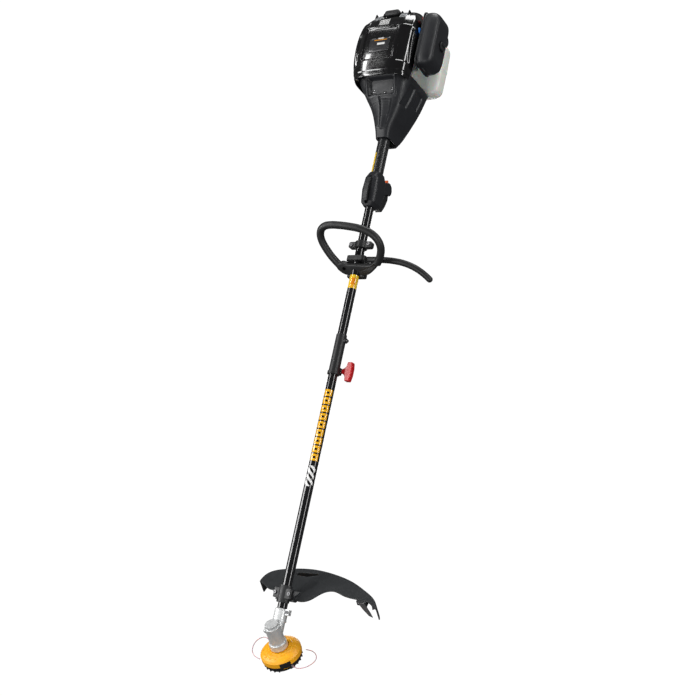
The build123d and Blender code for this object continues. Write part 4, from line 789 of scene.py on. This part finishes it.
TANK_STATIONS = ((500, -66, 90, 54, 92), (508, -71, 99.5, 51, 96.5), (520, -72, 102, 50, 98),
                 (640, -72, 102, 50, 98), (655, -70, 98, 51, 96), (664, -64, 90, 55, 91))
TANK_POWER = 6.0
TANK_HEIGHTS = (500, 501, 503, 506, 510, 515, 521, 560, 578, 580.5, 581.5, 583, 600, 640, 647, 653, 658,
                661.5, 663.4, 664)
TANK_REAR = 98.0
SEAM_Z, SEAM_LIFT = (579, 582.5), 1.3
TANK_NECK = (0.092, 0.030, 0.649)
SHOULDER_X, SHOULDER_REAR, SHOULDER_Z = (79.5, 90), 56, (629.5, 661.5)


def build_tank():
    """Translucent tank with a moulded seam round it and its filler neck."""
    turns = even_turns(station(TANK_STATIONS, 560), TANK_POWER, 0, 2 * pi, 120)[:-1]
    vertices = []
    for z in TANK_HEIGHTS:
        sizes = station(TANK_STATIONS, z)
        seam = SEAM_LIFT * window(z, *SEAM_Z, 1.5)
        for turn in turns:
            point, normal = oval(*sizes, TANK_POWER, turn)
            point += normal * seam
            vertices.append(Vector((point.x, min(point.y, TANK_REAR), z)) * MM)
    faces = ring_faces(len(TANK_HEIGHTS), len(turns))
    add_piece("fuel_tank_body", vertices, faces, "tank_white", "frame", ("fuel_tank",))
    profile = ((9, -18), (12, -18), (12, 0), (12.0, 4.5), (9.4, 4.5), (9, 4), (9, -18))
    add_turned("fuel_tank_neck", TANK_NECK, (1, 0, 0), profile, "tank_white", "frame")
    vertices, faces = [], []
    left, right = SHOULDER_X
    ends = []
    for z, front in zip(SHOULDER_Z, (10.5, 14)):
        ends.append([Vector((left, front, z)), Vector((right, front, z)), Vector((right, SHOULDER_REAR, z)),
                     Vector((left, SHOULDER_REAR, z))])
    box_between(vertices, faces, *ends)
    add_piece("fuel_tank_shoulder", vertices, faces, "tank_white", "frame", smooth=False)


ROPE_START, ROPE_END = (0.0255, -0.004, 0.646), (0.0, -0.0855, 0.674)
ROPE_R = 1.7


def build_rope():
    """Starter rope from the pulley's groove to the handle, as a still mesh that does not follow the handle
    when it is drawn out.
    """
    start, end = Vector(ROPE_START), Vector(ROPE_END)
    along = (end - start).normalized()
    side = along.orthogonal().normalized()
    other = along.cross(side)
    vertices = []
    rings, segments = 60, 12
    for ring in range(rings + 1):
        centre = start.lerp(end, ring / rings)
        for step in range(segments):
            turn = 2 * pi * step / segments
            twist = 1 + 0.10 * sin(3 * turn + ring * 0.9)
            vertices.append(centre + (side * cos(turn) + other * sin(turn)) * ROPE_R * MM * twist)
    faces = ring_faces(rings + 1, segments)
    mesh = bpy.data.meshes.new("starter_rope")
    mesh.from_pydata([tuple(vertex) for vertex in vertices], [], faces)
    mesh.materials.append(finish_of("rope_weave"))
    mesh.shade_smooth()
    rope = bpy.data.objects.new("starter_rope", mesh)
    bpy.context.collection.objects.link(rope)
    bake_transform(rope)


# ---- loop handle --------------------------------------------------------------------------------------
LOOP_TILT = radians(40)
LOOP_X = Vector((1, 0, 0))
LOOP_UP = Vector((0, -cos(LOOP_TILT), sin(LOOP_TILT)))
LOOP_NORMAL = LOOP_X.cross(LOOP_UP)
LOOP_ORIGIN = Vector((0, 0, -61)) + LOOP_NORMAL * 9.0
LOOP_ROUTE = ((-34, -8), (-46, 6), (-66, 36), (-80, 70), (-83, 95), (-76, 114), (-61, 125), (-42, 128),
              (-18, 126.5), (10, 122.5), (44, 115), (72, 103), (90, 84), (95.5, 60), (88, 35), (70, 9),
              (56, -4))
LOOP_R = 10.6
SADDLE_OUTLINE = ((-53, 2), (-44, -9), (-33, -16), (-18, -20.5), (0, -23.5), (18, -24.5), (34, -22),
                  (50, -13), (66, -1), (76, 12), (66, 18), (54, 11), (40, 9.5), (20, 11), (0, 12.5),
                  (-20, 13.5), (-36, 19), (-50, 14))
SADDLE_RIM = ((-9.9, 3.4), (-9.6, 2.0), (-8.4, 0.7), (-6.6, 0.0), (6.6, 0.0), (8.4, 0.7), (9.6, 2.0),
              (9.9, 3.4))
SHAFT_HOLE_R = 12.75
LOOP_HOLE, LOOP_HOLE_R = (-30, 2), 5.5
SADDLE_BACK = 1.2


def on_loop(x, y, out=0.0):
    """Point from millimetres in the loop handle's plane."""
    return (LOOP_ORIGIN + LOOP_X * x + LOOP_UP * y + LOOP_NORMAL * out) * MM


def flat_curve(points, steps, closed):
    """Smooth curve through flat points, as position and direction pairs, without an open one's end spans."""
    count = len(points)
    curve = []
    for index in range(0 if closed else 1, count if closed else count - 2):
        a, b, c, d = (Vector(points[(index + shift) % count]) for shift in (-1, 0, 1, 2))
        for step in range(steps):
            t = step / steps
            place = 0.5 * (2 * b + (c - a) * t + (2 * a - 5 * b + 4 * c - d) * t ** 2
                           + (3 * b - a - 3 * c + d) * t ** 3)
            way = 0.5 * ((c - a) + 2 * (2 * a - 5 * b + 4 * c - d) * t
                         + 3 * (3 * b - a - 3 * c + d) * t ** 2)
            curve.append((place, way.normalized()))
    return curve


def scratch_mesh(name, vertices, faces):
    """Closed helper solid for cutting and joining."""
    mesh = bpy.data.meshes.new(name)
    mesh.from_pydata([tuple(vertex) for vertex in vertices], [], faces)
    built = bmesh.new()
    built.from_mesh(mesh)
    bmesh.ops.recalc_face_normals(built, faces=built.faces)
    built.to_mesh(mesh)
    built.free()
    helper = bpy.data.objects.new(name, mesh)
    bpy.context.collection.objects.link(helper)
    return helper


def round_cutter(name, start, end, radius, sides=64):
    """Straight round bar between two points."""
    axis = (end - start).normalized()
    side = axis.orthogonal().normalized()
    other = axis.cross(side)
    vertices = []
    for centre in (start, end):
        for step in range(sides):
            turn = 2 * pi * step / sides
            vertices.append(centre + (side * cos(turn) + other * sin(turn)) * radius)
    return scratch_mesh(name, vertices, ring_faces(2, sides))


def combined(base, helpers):
    """Mesh of a solid after each helper has been joined to it or cut from it."""
    for operation, helper in helpers:
        change = base.modifiers.new(helper.name, "BOOLEAN")
        change.operation = operation
        change.solver = "EXACT"
        change.object = helper
    bpy.context.view_layer.update()
    mesh = bpy.data.meshes.new_from_object(base.evaluated_get(bpy.context.evaluated_depsgraph_get()))
    for helper in (base, *(helper for _, helper in helpers)):
        bpy.data.objects.remove(helper, do_unlink=True)
    return mesh


def build_loop_handle():
    """Rounded loop with a moulded saddle that sits on the front of the shaft."""
    columns = 28
    vertices = []
    curve = flat_curve(LOOP_ROUTE, 8, False)
    for place, way in curve:
        across = Vector((way.y, -way.x))
        for step in range(columns):
            turn = 2 * pi * step / columns
            shift = across * (cos(turn) * LOOP_R)
            vertices.append(on_loop(place.x + shift.x, place.y + shift.y, sin(turn) * LOOP_R * 0.94))
    loop = scratch_mesh("loop_bar", vertices, ring_faces(len(curve), columns))
    outline = flat_curve(SADDLE_OUTLINE, 5, True)
    vertices = []
    for out, inset in SADDLE_RIM:
        for place, way in outline:
            vertices.append(on_loop(place.x - way.y * inset, place.y + way.x * inset, out))
    saddle = scratch_mesh("saddle", vertices, ring_faces(len(SADDLE_RIM), len(outline)))
    hole = round_cutter("hole", on_loop(*LOOP_HOLE, -30), on_loop(*LOOP_HOLE, 30), LOOP_HOLE_R * MM)
    bore = round_cutter("bore", Vector((0, 0, -0.2)), Vector((0, 0, 0.1)), SHAFT_HOLE_R * MM)
    rear = []
    for z in (-200, 0):
        rear += [Vector((x, y, z)) * MM for x, y in
                 ((-120, SADDLE_BACK), (120, SADDLE_BACK), (120, 80), (-120, 80))]
    back = scratch_mesh("back", rear, ring_faces(2, 4))
    mesh = combined(saddle, (("DIFFERENCE", back), ("DIFFERENCE", bore), ("DIFFERENCE", hole),
                             ("UNION", loop)))
    mesh.name = "loop_handle_moulding"
    mesh.materials.clear()
    mesh.materials.append(finish_of("handle_rubber"))
    mesh.shade_smooth()
    mesh.set_sharp_from_angle(angle=radians(38))
    piece = bpy.data.objects.new("loop_handle_moulding", mesh)
    bpy.context.collection.objects.link(piece)
    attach(piece, "handle")
    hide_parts("loop_handle")


bpy.context.scene.view_settings.view_transform = "Standard"
add_camera()
for line_name, (line_angle, line_length, line_route) in LINE_ROUTES.items():
    add_line(line_name, line_angle, line_route)
add_world()
add_light("key_left", (-1.9, -2.6, 0.25), (0, 0, 0.25), (0.28, 3.3), 55)
add_light("fill_right", (2.9, -0.9, 0.6), (0, 0, 0), (0.4, 4.2), 60)
add_light("window_band", (-1.2, -1.7, 2.45), (0, -0.1, 0.6), (1.1, 0.16), 3.5)
add_light("top", (0.2, -0.6, 2.9), (0, 0, 0.4), (1.4, 1.0), 35)
add_light("head_front", (0.4, -1.7, -1.7), (0, 0, -1.05), (0.9, 0.5), 16)
add_light("head_left", (-1.5, -1.1, -0.6), (0, 0, -1.05), (0.5, 0.9), 16)
add_light("back_rim", (-1.5, 2.4, 1.0), (0, 0, 0), (1.4, 2.4), 40)
dress_nodes()
build_engine_cover()
build_neck()
build_bolts()
build_air_filter_cover()
build_tank()
build_rope()
build_loop_handle()
